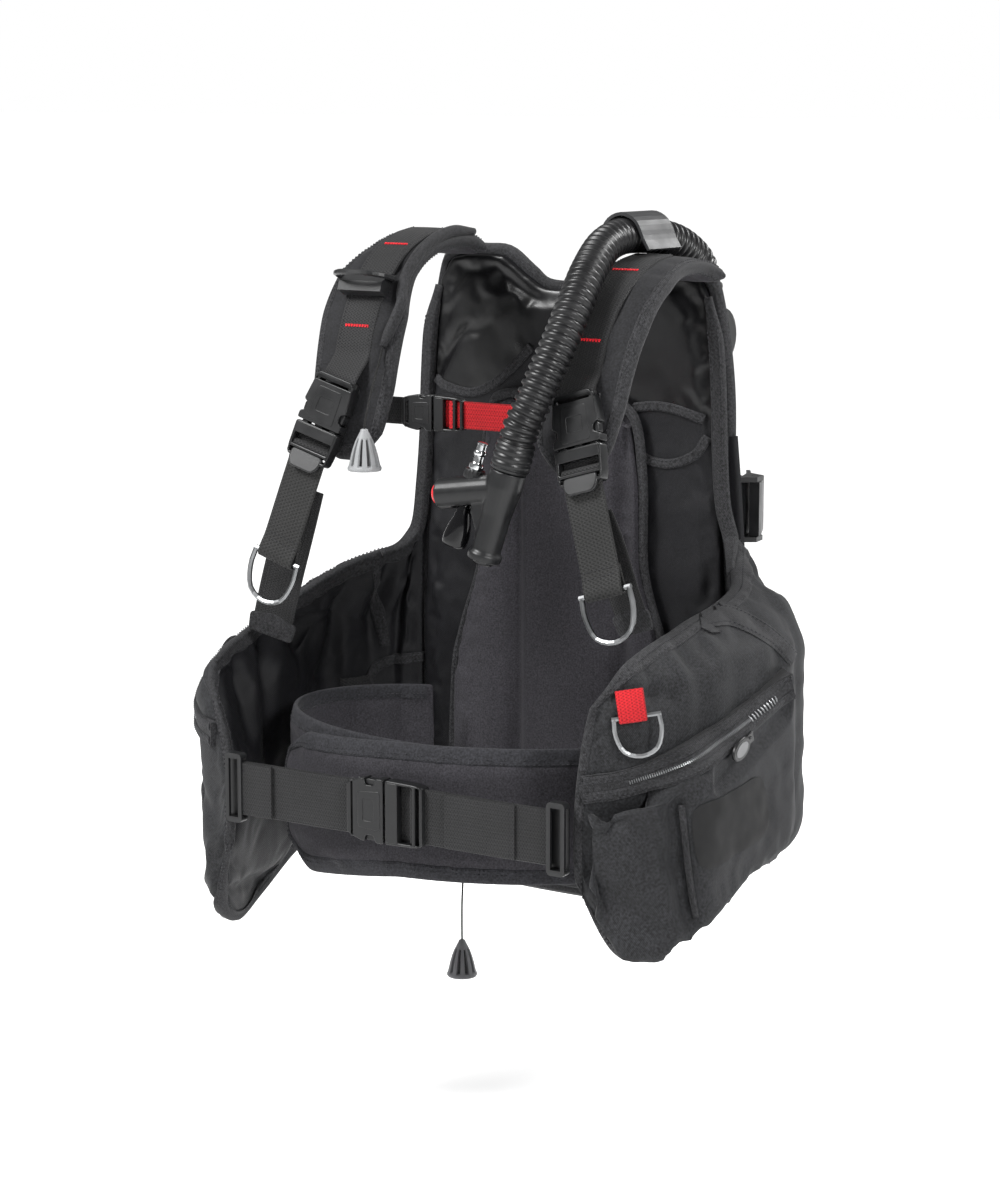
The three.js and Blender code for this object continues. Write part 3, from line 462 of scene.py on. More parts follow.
def strap_section(width, thick, crown=0.0):
    """Webbing's cross-section: flat, with rounded selvedges and a slight crown."""
    half, t = width / 2, thick / 2
    top = []
    for k in range(9):
        a = lerp(-half + t * 0.8, half - t * 0.8, k / 8)
        top.append((a, t + crown * (1 - (a / half) ** 2)))
    return [*top, (half, 0), *[(a, b - 2 * t) for a, b in reversed(top)], (-half, 0)]


def strap(shape, line, normals, width, thick=2.4, crown=0.0):
    shape.sweep(line, strap_section(width * MM, thick * MM, crown * MM), normals)


STITCH_FACES = [[0, 1, 6], [1, 2, 7, 6], [2, 3, 7], [3, 4, 7], [4, 5, 6, 7], [5, 0, 6]]


def stitches(shape, line, normals, pitch=4.2, length=2.7, width=0.85, lift=0.25):
    """A row of stitches lying on the line."""
    run = evenly(line, pitch * MM)
    marks = normals_at(line, normals, run)
    tangents = directions(run)
    for at, tangent, normal in list(zip(run, tangents, marks))[:-1]:
        side = tangent.cross(normal).normalized() * (width / 2 * MM)
        ahead = tangent * (length / 2 * MM)
        up = normal * ((lift + 0.35) * MM)
        low = -normal * (0.4 * MM)
        ring = [at - ahead + low, at - ahead * 0.6 + side + low, at + ahead * 0.6 + side + low,
                at + ahead + low, at + ahead * 0.6 - side + low, at - ahead * 0.6 - side + low]
        top = [at - ahead * 0.55 + up, at + ahead * 0.55 + up]
        shape.add([*ring, *top], STITCH_FACES)


def normals_at(line, normals, run):
    out, k = [], 0
    for at in run:
        while k < len(line) - 1 and (line[k + 1] - at).length < (line[k] - at).length:
            k += 1
        out.append(normals[k])
    return out


def bar_tack(shape, centre, across, along, normal, width=22.0):
    """A dense zigzag of thread across webbing."""
    count = int(width / 1.5)
    for k in range(count):
        a = lerp(-width / 2, width / 2, (k + 0.5) / count) * MM
        lean = 0.5 * MM * (1 if k % 2 else -1)
        reach = along * (1.2 * MM)
        line = [centre + across * a - reach, centre + across * (a + lean) + reach]
        shape.sweep(line, circle(0.62 * MM, 6), [normal, normal])


def lathe(profile, sides, place, wobble=None):
    """(radius, height) pairs in mm, turned about local Z. wobble(angle, height) scales a radius."""
    points, faces, uvs = [], [], []
    for r, h in profile:
        for k in range(sides):
            angle = 2 * math.pi * k / sides
            radius = r * (wobble(angle, h) if wobble else 1)
            points.append(mm(radius * math.cos(angle), radius * math.sin(angle), h))
            uvs.append((r * angle * MM, h * MM))
    n = sides
    for i in range(len(profile) - 1):
        for k in range(n):
            a, b = i * n + k, i * n + (k + 1) % n
            faces.append([a, b, b + n, a + n])
    faces.append(list(range(n))[::-1])
    faces.append([(len(profile) - 1) * n + k for k in range(n)])
    return [place @ p for p in points], faces, uvs


def fillet(loop, radius, steps=4):
    """A polygon with its corners rounded."""
    out = []
    for i, corner in enumerate(loop):
        here = Vector(corner)
        before, after = Vector(loop[i - 1]), Vector(loop[(i + 1) % len(loop)])
        reach = min(radius, (before - here).length * 0.45, (after - here).length * 0.45)
        a = here + (before - here).normalized() * reach
        b = here + (after - here).normalized() * reach
        for k in range(steps + 1):
            t = k / steps
            out.append(tuple(a.lerp(here, t).lerp(here.lerp(b, t), t)))
    return out


# The plane in which plates are drawn: local X across, local Z along the strap, facing local -Y.
PLATE_PLANE = Matrix(((1, 0, 0, 0), (0, 0, -1, 0), (0, 1, 0, 0), (0, 0, 0, 1)))


def plate(shape, loops, thick, bevel, matrix, out=0.0, slot=0):
    """A flat moulding with rounded edges: its outline, then its holes, in mm, moved out to -Y."""
    curve = bpy.data.curves.new("plate", "CURVE")
    curve.dimensions = "2D"
    curve.fill_mode = "BOTH"
    curve.extrude = max(thick / 2 - bevel, 0.01) * MM
    curve.bevel_depth = bevel * MM
    curve.bevel_resolution = 2
    curve.offset = -bevel * MM
    for loop in loops:
        spline = curve.splines.new("POLY")
        spline.points.add(len(loop) - 1)
        for point, (a, b) in zip(spline.points, loop):
            point.co = (a * MM, b * MM, 0, 1)
        spline.use_cyclic_u = True
    holder = linked("plate", curve)
    bpy.context.view_layer.update()
    mesh = mesh_of(holder)
    place = matrix @ Matrix.Translation((0, -out * MM, 0)) @ PLATE_PLANE
    uvs = [(v.co.x, v.co.y) for v in mesh.vertices]
    faces = [list(p.vertices) for p in mesh.polygons]
    shape.add([v.co for v in mesh.vertices], faces, uvs, slot, place)
    bpy.data.objects.remove(holder)
    bpy.data.meshes.remove(mesh)
    bpy.data.curves.remove(curve)


def mesh_of(piece):
    dg = bpy.context.evaluated_depsgraph_get()
    return bpy.data.meshes.new_from_object(piece.evaluated_get(dg))


def bake_modifiers(piece):
    """Replaces the piece's mesh by what its modifiers make of it."""
    bpy.context.view_layer.update()
    mesh = mesh_of(piece)
    old = piece.data
    piece.modifiers.clear()
    piece.data = mesh
    bpy.data.meshes.remove(old)


def positions(mesh):
    flat = np.zeros(len(mesh.vertices) * 3)
    mesh.vertices.foreach_get("co", flat)
    return flat.reshape(-1, 3)


def normals_of(mesh):
    flat = np.zeros(len(mesh.vertices) * 3, np.float32)
    mesh.vertex_normals.foreach_get("vector", flat)
    return flat.reshape(-1, 3).astype(float)


def set_positions(mesh, points):
    mesh.vertices.foreach_set("co", np.asarray(points, np.float32).ravel())
    mesh.update()


def inflate(piece, pins, pressure, growth, cap, frames=20):
    """Blows the piece up as cloth that is a little too large for its seams, and keeps the shape.
    pins is a weight per vertex, 1 where it is sewn. No vertex moves further than cap, in mm."""
    group = piece.vertex_groups.new(name="sewn")
    for i, weight in enumerate(pins):
        if weight > 0:
            group.add([i], float(weight), "REPLACE")
    start = positions(piece.data)
    cloth = piece.modifiers.new("inflate", "CLOTH")
    settings = cloth.settings
    settings.quality = 4
    settings.mass = 0.2
    settings.tension_stiffness = settings.compression_stiffness = 12
    settings.shear_stiffness = 4
    settings.bending_stiffness = 0.25
    settings.vertex_group_mass = "sewn"
    settings.use_pressure = True
    settings.uniform_pressure_force = pressure
    settings.shrink_min = -growth
    settings.effector_weights.gravity = 0
    cloth.collision_settings.use_collision = False
    cloth.point_cache.frame_start = 1
    cloth.point_cache.frame_end = frames
    for number in range(1, frames + 1):
        scene.frame_set(number)
    blown = mesh_of(piece)
    end = positions(blown)
    bpy.data.meshes.remove(blown)
    piece.modifiers.remove(cloth)
    piece.vertex_groups.clear()
    scene.frame_set(1)
    step = end - start
    size = np.linalg.norm(step, axis=1, keepdims=True)
    step *= np.minimum(1, cap * MM / np.maximum(size, 1e-9))
    set_positions(piece.data, start + step)


def subdivide(piece):
    modifier = piece.modifiers.new("rounder", "SUBSURF")
    modifier.levels = modifier.render_levels = 1
    bake_modifiers(piece)


class Pillow:
    """Two skins over a middle surface, sewn together round the edge.

    middle(s, t) is a point of the middle surface, for s and t from 0 to 1. thick(s, t) is the
    distance between the skins, and creases(s, t, skin) how far a skin stands out, both in mm.
    The first skin is the one that the surface's normal, dP/ds x dP/dt, points out of."""

    def __init__(self, name, middle, thick, across, up, looks, body, pressure, growth, cap,
                 replaces, creases):
        self.name, self.na, self.nb, self.body = name, across, up, body
        ns, nt = across, up
        grid = [[middle(i / ns, j / nt) for j in range(nt + 1)] for i in range(ns + 1)]
        self.normal = [[self._normal(grid, i, j) for j in range(nt + 1)] for i in range(ns + 1)]
        shape = Shape()
        points, uvs, pins = [], [], []
        down = 0.0
        for side in (1, -1):
            for i in range(ns + 1):
                if i:
                    down += (grid[i][nt // 2] - grid[i - 1][nt // 2]).length
                over = 0.0
                for j in range(nt + 1):
                    if j:
                        over += (grid[i][j] - grid[i][j - 1]).length
                    half = thick(i / ns, j / nt) / 2 * MM * side
                    points.append(grid[i][j] + self.normal[i][j] * half)
                    uvs.append((over, down))
                    rim = min(i, ns - i, j, nt - j)
                    pins.append(1.0 if rim < 2 else 0.35 if rim == 2 else 0.0)
            down = 0.0
        count = (ns + 1) * (nt + 1)
        at = lambda i, j: i * (nt + 1) + j
        faces, slots = [], []
        for i in range(ns):
            for j in range(nt):
                a, b, c, d = at(i, j), at(i + 1, j), at(i + 1, j + 1), at(i, j + 1)
                faces += [[a, b, c, d], [count + d, count + c, count + b, count + a]]
                slots += [0, 1]
        ring = self.rim()
        for (i, j), (k, m) in zip(ring, ring[1:] + ring[:1]):
            faces.append([at(k, m), at(i, j), count + at(i, j), count + at(k, m)])
            slots.append(0)
        shape.add(points, faces, uvs)
        shape.slots = slots
        self.piece = shape.build(name, looks, sharp=None)
        inflate(self.piece, pins, pressure, growth, cap)
        base = positions(self.piece.data)
        out = normals_of(self.piece.data)
        for side in (0, 1):
            for i in range(ns + 1):
                for j in range(nt + 1):
                    k = side * count + at(i, j)
                    base[k] += out[k] * creases(i / ns, j / nt, side) * MM
        set_positions(self.piece.data, base)
        self.grid = positions(self.piece.data).reshape(2, ns + 1, nt + 1, 3)
        subdivide(self.piece)
        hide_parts(*replaces)
        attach(self.piece, body)

    def _normal(self, grid, i, j):
        ns, nt = self.na, self.nb
        ds = grid[min(i + 1, ns)][j] - grid[max(i - 1, 0)][j]
        dt = grid[i][min(j + 1, nt)] - grid[i][max(j - 1, 0)]
        return ds.cross(dt).normalized()

    def rim(self):
        ns, nt = self.na, self.nb
        return ([(i, 0) for i in range(ns)] + [(ns, j) for j in range(nt)]
                + [(i, nt) for i in range(ns, 0, -1)] + [(0, j) for j in range(nt, 0, -1)])

    def inward(self, i, j, depth):
        """The grid point that many rings in from a rim point."""
        ns, nt = self.na, self.nb
        di = depth if i == 0 else -depth if i == ns else 0
        dj = depth if j == 0 else -depth if j == nt else 0
        return min(max(i + di, 0), ns), min(max(j + dj, 0), nt)

    def skin(self, side, i, j, lift=0.0):
        """A point on a skin, lifted off it by that many mm. Fractions of a ring are allowed."""
        i0, j0 = int(math.floor(i)), int(math.floor(j))
        i1, j1 = min(i0 + 1, self.na), min(j0 + 1, self.nb)
        fi, fj = i - i0, j - j0
        g = self.grid[side]
        near = g[i0][j0] * (1 - fi) + g[i1][j0] * fi
        far = g[i0][j1] * (1 - fi) + g[i1][j1] * fi
        p = near * (1 - fj) + far * fj
        return Vector(p) + self.out(side, i, j) * (lift * MM)

    def out(self, side, i, j):
        i, j = int(round(i)), int(round(j))
        g = self.grid[side]
        ds = g[min(i + 1, self.na)][j] - g[max(i - 1, 0)][j]
        dt = g[i][min(j + 1, self.nb)] - g[i][max(j - 1, 0)]
        n = np.cross(ds, dt) * (1 if side == 0 else -1)
        return Vector(n).normalized()

    def bind(self, look, rings, thick):
        """A tape folded over the edge, except at the pillow's start, and stitched through twice."""
        shape = Shape()
        ring = [(i, j) for i, j in self.rim() if i > 0]
        rows, uvs, length = [], [], 0.0
        for i, j in ring:
            row = []
            for side, depths in ((1, range(rings, -1, -1)), (0, range(0, rings + 1))):
                for depth in depths:
                    k, m = self.inward(i, j, depth)
                    row.append(self.skin(side, k, m, thick))
            k, m = self.inward(i, j, rings)
            row.insert(0, self.skin(1, k, m, -0.6))
            row.append(self.skin(0, k, m, -0.6))
            if rows:
                length += (row[len(row) // 2] - rows[-1][len(row) // 2]).length
            rows.append(row)
            around = [0.0]
            for a, b in zip(row, row[1:]):
                around.append(around[-1] + (b - a).length)
            uvs.append([(u, length) for u in around])
        n = len(rows[0])
        faces = []
        total = len(rows)
        for r in range(total - 1):
            s = r + 1
            for k in range(n - 1):
                faces.append([r * n + k, r * n + k + 1, s * n + k + 1, s * n + k])
        shape.add([p for row in rows for p in row], faces, [u for row in uvs for u in row])
        subdivide(shape.build(f"{self.name}_binding", look, self.body, sharp=None))
        thread = Shape()
        for side in (0, 1):
            for depth in (rings - 0.35, rings - 1.1):
                line, marks = [], []
                for i, j in ring:
                    k, m = self.inward(i, j, depth)
                    line.append(self.skin(side, k, m, thick))
                    marks.append(self.out(side, k, m))
                stitches(thread, line, marks)
        thread.build(f"{self.name}_binding_stitches", THREAD, self.body)


def remeshed(name, node, voxel, rounding):
    """A CAD solid's mesh as a new piece of even, softened voxels, that wide in mm."""
    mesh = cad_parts[node].data.copy()
    mesh.materials.clear()
    piece = linked(name, mesh)
    remesh = piece.modifiers.new("voxels", "REMESH")
    remesh.mode = "VOXEL"
    remesh.voxel_size = voxel * MM
    soften = piece.modifiers.new("soften", "SMOOTH")
    soften.factor = 0.5
    soften.iterations = rounding
    bake_modifiers(piece)
    return piece


SOFT_VOXEL, SOFT_INSET, SOFT_PRESSURE = 5.0, 1.5, 2.5


def soft_copy(name, node, looks, folds, growth, cap, rounding=6, sewn=None, paint=None):
    """A padded piece in the space of a CAD solid: its mesh remeshed, blown up as cloth and creased.
    sewn(x, y, z) is how firmly a point is stitched down, folds(x, y, z) how far it stands out, in
    mm, and paint(x, y, z) which of the looks a face has."""
    piece = remeshed(name, node, SOFT_VOXEL, rounding)
    set_positions(piece.data, positions(piece.data) - normals_of(piece.data) * (SOFT_INSET * MM))
    start = positions(piece.data) / MM
    pins = [sewn(*p) for p in start] if sewn else [0.0] * len(start)
    inflate(piece, pins, SOFT_PRESSURE, growth, cap)
    moves = np.array([folds(*p) for p in start])[:, None]
    set_positions(piece.data, positions(piece.data) + normals_of(piece.data) * moves * MM)
    subdivide(piece)
    for look in looks:
        piece.data.materials.append(look)
    for face in piece.data.polygons:
        face.use_smooth = True
        if paint:
            face.material_index = paint(*(face.center / MM))
    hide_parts(node)
    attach(piece, "vest")
    return piece


def near_line(a, b, loop, reach):
    """1 within reach of a closed outline, falling to 0 at twice that."""
    best = min(
        segment_distance(a, b, p, q) for p, q in zip(loop, loop[1:] + loop[:1])
    )
    return 1 - smoothstep(best, reach, 2 * reach)


def segment_distance(a, b, p, q):
    dx, dy = q[0] - p[0], q[1] - p[1]
    t = min(max(((a - p[0]) * dx + (b - p[1]) * dy) / max(dx * dx + dy * dy, 1e-9), 0), 1)
    return math.hypot(a - p[0] - t * dx, b - p[1] - t * dy)


def strap_frame(origin, direction, facing=(0, -1, 0)):
    """Local Z runs up the strap, local Y through it to its back, local X across it."""
    up = -Vector(direction).normalized()
    back = -Vector(facing)
    back = (back - up * back.dot(up)).normalized()
    across = back.cross(up)
    basis = Matrix((across, back, up)).transposed().to_4x4()
    return Matrix.Translation(Vector(origin) * MM) @ basis


def mirrored(shape):
    """The same pieces on the wearer's right."""
    shape.points = [Vector((-p.x, p.y, p.z)) for p in shape.points]
    shape.faces = [face[::-1] for face in shape.faces]
    shape.uvs = [corner[::-1] for corner in shape.uvs]
    return shape


def built(shape, side, name, looks, body, replaces=(), sharp=40):
    if side == "right":
        mirrored(shape)
    return shape.build(f"{name}_{side}", looks, body, sharp, tuple(f"{n}_{side}" for n in replaces))


SIDES = ("left", "right")


class Drape:
    """Lays tapes and patches on built surfaces, seen from one side. A spot is (a, z) in mm: a runs
    across the facing direction, to its left-hand side seen from above, and z is the height."""

    def __init__(self, pieces, facing):
        self.facing = Vector(facing).normalized()
        self.across = Vector((-self.facing.y, self.facing.x, 0))
        points, faces = [], []
        for piece in pieces:
            start = len(points)
            if isinstance(piece, Shape):
                points += piece.points
                faces += [[start + i for i in face] for face in piece.faces]
                continue
            points += [v.co.copy() for v in piece.data.vertices]
            faces += [[start + i for i in p.vertices] for p in piece.data.polygons]
        self.tree = BVHTree.FromPolygons(points, faces)

    def at(self, a, z, lift=0.0):
        start = self.across * (a * MM) + Vector((0, 0, z * MM)) + self.facing
        spot, normal, _, _ = self.tree.ray_cast(start, -self.facing)
        if spot is None:
            spot, normal, _, _ = self.tree.find_nearest(start - self.facing * 0.75)
        if normal.dot(self.facing) < 0:
            normal = -normal
        return spot + normal * (lift * MM), normal

    def route(self, spots, step=2.5):
        return [(p.x, p.y) for p in curve_through([Vector((a, z, 0)) for a, z in spots], step)]

    def line(self, spots, lift, step=2.5):
        hits = [self.at(a, z, lift) for a, z in self.route(spots, step)]
        normals = [n for _, n in hits]
        last = len(normals) - 1
        for _ in range(4):
            normals = [(normals[max(i - 1, 0)] + n * 2 + normals[min(i + 1, last)]).normalized()
                       for i, n in enumerate(normals)]
        return [p for p, _ in hits], normals

    def strip(self, shape, spots, width, lift=1.2, columns=6, step=2.5, bridge=0):
        """A tape that follows the surface. width is in mm, or a function of its length's share."""
        way = self.route(spots, step)
        rows, uvs, length = [], [], 0.0
        for i, (a, z) in enumerate(way):
            before, after = way[max(i - 1, 0)], way[min(i + 1, len(way) - 1)]
            along = Vector((after[0] - before[0], after[1] - before[1])).normalized()
            side = Vector((-along.y, along.x))
            if i:
                length += math.dist(way[i], way[i - 1]) * MM
            half = (width(i / (len(way) - 1)) if callable(width) else width) / 2
            row = []
            for k in range(-1, columns + 2):
                share = min(max(k / columns, 0), 1) * 2 - 1
                up = -1.2 if k in (-1, columns + 1) else lift * (0.55 if k in (0, columns) else 1)
                row.append(self.at(a + side.x * half * share, z + side.y * half * share, up)[0])
                uvs.append((share * half * MM, length))
            rows.append(row)
        if bridge:
            self.span(rows, bridge)
        n = len(rows[0])
        faces = [[r * n + k, r * n + k + 1, (r + 1) * n + k + 1, (r + 1) * n + k]
                 for r in range(len(rows) - 1) for k in range(n - 1)]
        first, last = list(range(n)), [(len(rows) - 1) * n + k for k in range(n)]
        faces += [first[::-1], last]
        middle = (rows[len(rows) // 2][n // 2] - rows[len(rows) // 2][n // 2 - 1]).cross(
            rows[len(rows) // 2 + 1][n // 2] - rows[len(rows) // 2][n // 2])
        if middle.dot(self.facing) < 0:
            faces = [f[::-1] for f in faces]
        shape.add([p for row in rows for p in row], faces, uvs)

    def span(self, rows, reach):
        """Lifts a tape off the hollows it would bridge, and smooths its height over the surface."""
        depth = np.array([[p.dot(self.facing) for p in row[1:-1]] for row in rows])
        lifted = depth.copy()
        for _ in range(reach):
            padded = np.pad(lifted, 1, mode="edge")
            lifted = np.max([padded[i:i + depth.shape[0], j:j + depth.shape[1]]
                             for i in range(3) for j in range(3)], axis=0)
        for _ in range(3 * reach):
            padded = np.pad(lifted, 1, mode="edge")
            lifted = np.mean([padded[i:i + depth.shape[0], j:j + depth.shape[1]]
                              for i in range(3) for j in range(3)], axis=0)
        for row, old, new in zip(rows, depth, lifted):
            for k, rise in enumerate(new - old):
                row[k + 1] = row[k + 1] + self.facing * rise

    def seam(self, shape, spots, lift=1.3, offset=0.0, **marks):
        if offset:
            way = self.route(spots, 4)
            moved = []
            for i, (a, z) in enumerate(way):
                before, after = way[max(i - 1, 0)], way[min(i + 1, len(way) - 1)]
                along = Vector((after[0] - before[0], after[1] - before[1])).normalized()
                moved.append((a - along.y * offset, z + along.x * offset))
            spots = moved[::2] + moved[-1:]
        line, normals = self.line(spots, lift)
        stitches(shape, line, normals, **marks)


def rounded_end(width, length, radius):
    """A rounded rectangle's width at a share of its length."""
    def at(share):
        gap = min(share, 1 - share) * length
        if gap >= radius:
            return width
        reach = math.sqrt(max(radius ** 2 - (radius - gap) ** 2, 0))
        return max(width - 2 * radius + 2 * reach, 0.5)
    return at


# ---------------------------------------------------------------- cords

HOSE_ROUTE = [
    (114, 100.5, -33), (114, 99.5, -17), (112, 88, 7), (108, 62, 24), (103, 33, 32), (99, 3, 35),
    (97, -28, 34.5), (99.5, -61, 27), (106, -96.5, 8), (111.5, -126, -16), (111, -147.5, -44),
    (105.5, -165.5, -75.5), (98.5, -177.5, -103), (91, -182.4, -122), (87.3, -183.8, -135.9),
]
SHOULDER_CORD = [
    (-90.8, -132, -65), (-90.6, -134.4, -70), (-90.2, -137, -75), (-89.8, -140, -80),
    (-89.4, -143.2, -85), (-88.8, -146.6, -90), (-88.2, -150, -95), (-87.6, -153.4, -100),
    (-86.8, -156.8, -105),
    (-86, -160.2, -110), (-85.2, -163.4, -115), (-84.4, -166.4, -120), (-83.8, -169, -125),
    (-83.3, -171.4, -130.5), (-83, -173, -136),
]
REAR_CORD = [
    (-146, 81, -573), (-146, 81.1, -581), (-146.2, 81.2, -589), (-146.5, 81.4, -597),
    (-146.8, 81.7, -605), (-147.1, 81.9, -613), (-147.5, 82, -621), (-147.9, 82, -629),
    (-148.2, 81.9, -637), (-148.5, 81.7, -645), (-148.6, 81.6, -653), (-148.5, 81.4, -661),
    (-148.4, 81.2, -669), (-148.3, 81.1, -677), (-148.2, 81, -686),
]
HOSE_RADIUS, HOSE_ROOT, HOSE_PITCH = 16.5, 13.9, 7.5
PULL_CORD_RADIUS = 0.001


def route_line(route, step):
    return curve_through([mm(*p) for p in route], step)


def line_length(line):
    return sum((b - a).length for a, b in zip(line, line[1:]))


def inflator_hose():
    line = route_line(HOSE_ROUTE, 0.00094)
    travelled = [0.0]
    for a, b in zip(line, line[1:]):
        travelled.append(travelled[-1] + (b - a).length / MM)

    def ring(i):
        wave = 0.5 + 0.5 * math.cos(2 * math.pi * travelled[i] / HOSE_PITCH)
        return circle(lerp(HOSE_ROOT, HOSE_RADIUS, smoothstep(wave, 0.12, 0.72)) * MM, 30)

    shape = Shape()
    shape.sweep(line, ring, carried_normals(line, (0, 0, 1)))
    hose = shape.build("hose", RUBBER, "vest", None, ("inflator_hose",))
    return hose, line


def pull_cord(name, route):
    line = route_line(route, 0.003)
    data = bpy.data.curves.new(name, "CURVE")
    data.dimensions = "3D"
    data.bevel_depth = PULL_CORD_RADIUS
    data.bevel_resolution = 3
    data.use_fill_caps = True
    spline = data.splines.new("POLY")
    spline.points.add(len(line) - 1)
    for point, at in zip(spline.points, line):
        point.co = (*at, 1)
    data.materials.append(CORD)
    cord = linked(f"{name}_line", data)
    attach(cord, name)
    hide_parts(f"{name}_cord")
    return cord, line


def pull_knob(name, route, look):
    """A ribbed cone with grooves running down it, their floors painted near-black as shade, and a
    lip at its foot.
    """
    profile = [
        (0.1, 0), (2.2, 0), (3.3, -0.6), (3.6, -2), (5.2, -5), (8.2, -11), (10.4, -17), (12.4, -24),
        (13.7, -30), (14.6, -33.5), (15.4, -35), (15.5, -36.4), (14.7, -37.7), (12.5, -38),
        (0.1, -38),
    ]
    slots = 10

    def grooved(angle, height):
        if not -33.5 < height < -8:
            return 1
        cut = 0.5 + 0.5 * math.cos(slots * angle)
        return 1 - 0.2 * smoothstep(cut, 0.5, 0.8)

    steps = []
    for (r0, h0), (r1, h1) in zip(profile, profile[1:]):
        count = 4 if -34 < h1 < -2 else 1
        steps += [(lerp(r0, r1, k / count), lerp(h0, h1, k / count)) for k in range(count)]
    steps.append(profile[-1])
    shape = Shape()
    place = Matrix.Translation(mm(*route[-1]))
    shape.add(*lathe(steps[::-1], 12 * slots, place, grooved))
    # The faces at the bottom of each groove get the painted shade's material.
    for face_index, face in enumerate(shape.faces):
        centre = sum((shape.points[i] for i in face), Vector()) / len(face) - mm(*route[-1])
        angle = math.atan2(centre.y, centre.x)
        height = centre.z / MM
        if -33 < height < -9 and len(face) == 4 and 0.5 + 0.5 * math.cos(slots * angle) > 0.66:
            shape.slots[face_index] = 1
    return shape.build(f"{name}_grip", [look, SLOT_PAINTED_SHADE], name, 50, (f"{name}_knob",))


hose_piece, hose_line = inflator_hose()
shoulder_cord, shoulder_line = pull_cord("shoulder_pull", SHOULDER_CORD)
rear_cord, rear_line = pull_cord("rear_pull", REAR_CORD)
shoulder_grip = pull_knob("shoulder_pull", SHOULDER_CORD, KNOB_GREY)
rear_grip = pull_knob("rear_pull", REAR_CORD, KNOB_DARK)


# ---------------------------------------------------------------- inflator

COLLAR_LENGTH, COLUMN_LENGTH, BAR_LENGTH, BAR_DROOP, INLET_X = 26, 82, 66, 0.4, -33
INFLATOR = Matrix.Translation(mm(*HOSE_ROUTE[-1])) @ (
    Euler((-0.1, 0, 0)).to_matrix() @ Euler((0, 0.26, 0)).to_matrix()
).to_4x4()
TOP = -COLLAR_LENGTH - 0.5
BAR_Z = TOP - 16
COLUMN_LOW = TOP - COLUMN_LENGTH
BAR = Matrix.Translation(mm(0, 0, BAR_Z)) @ Matrix.Rotation(-BAR_DROOP, 4, "Y")
INLET_Z = BAR_Z + INLET_X * math.tan(BAR_DROOP)


def turned(name, profile, look, place, body, node, sides=64, wobble=None, sharp=35):
    shape = Shape().add(*lathe(profile, sides, place, wobble))
    return shape.build(name, look, body, sharp, (node,) if node else ())


def banded(low, high, radius, depth, bands):
    """A turned grip: rounded bands with grooves between them."""
    out = []
    for k in range(bands * 8 + 1):
        h = lerp(low, high, k / (bands * 8))
        wave = abs(math.cos(math.pi * bands * (h - low) / (high - low)))
        out.append((radius - depth * (1 - smoothstep(1 - wave, 0, 0.45)), h))
    return out


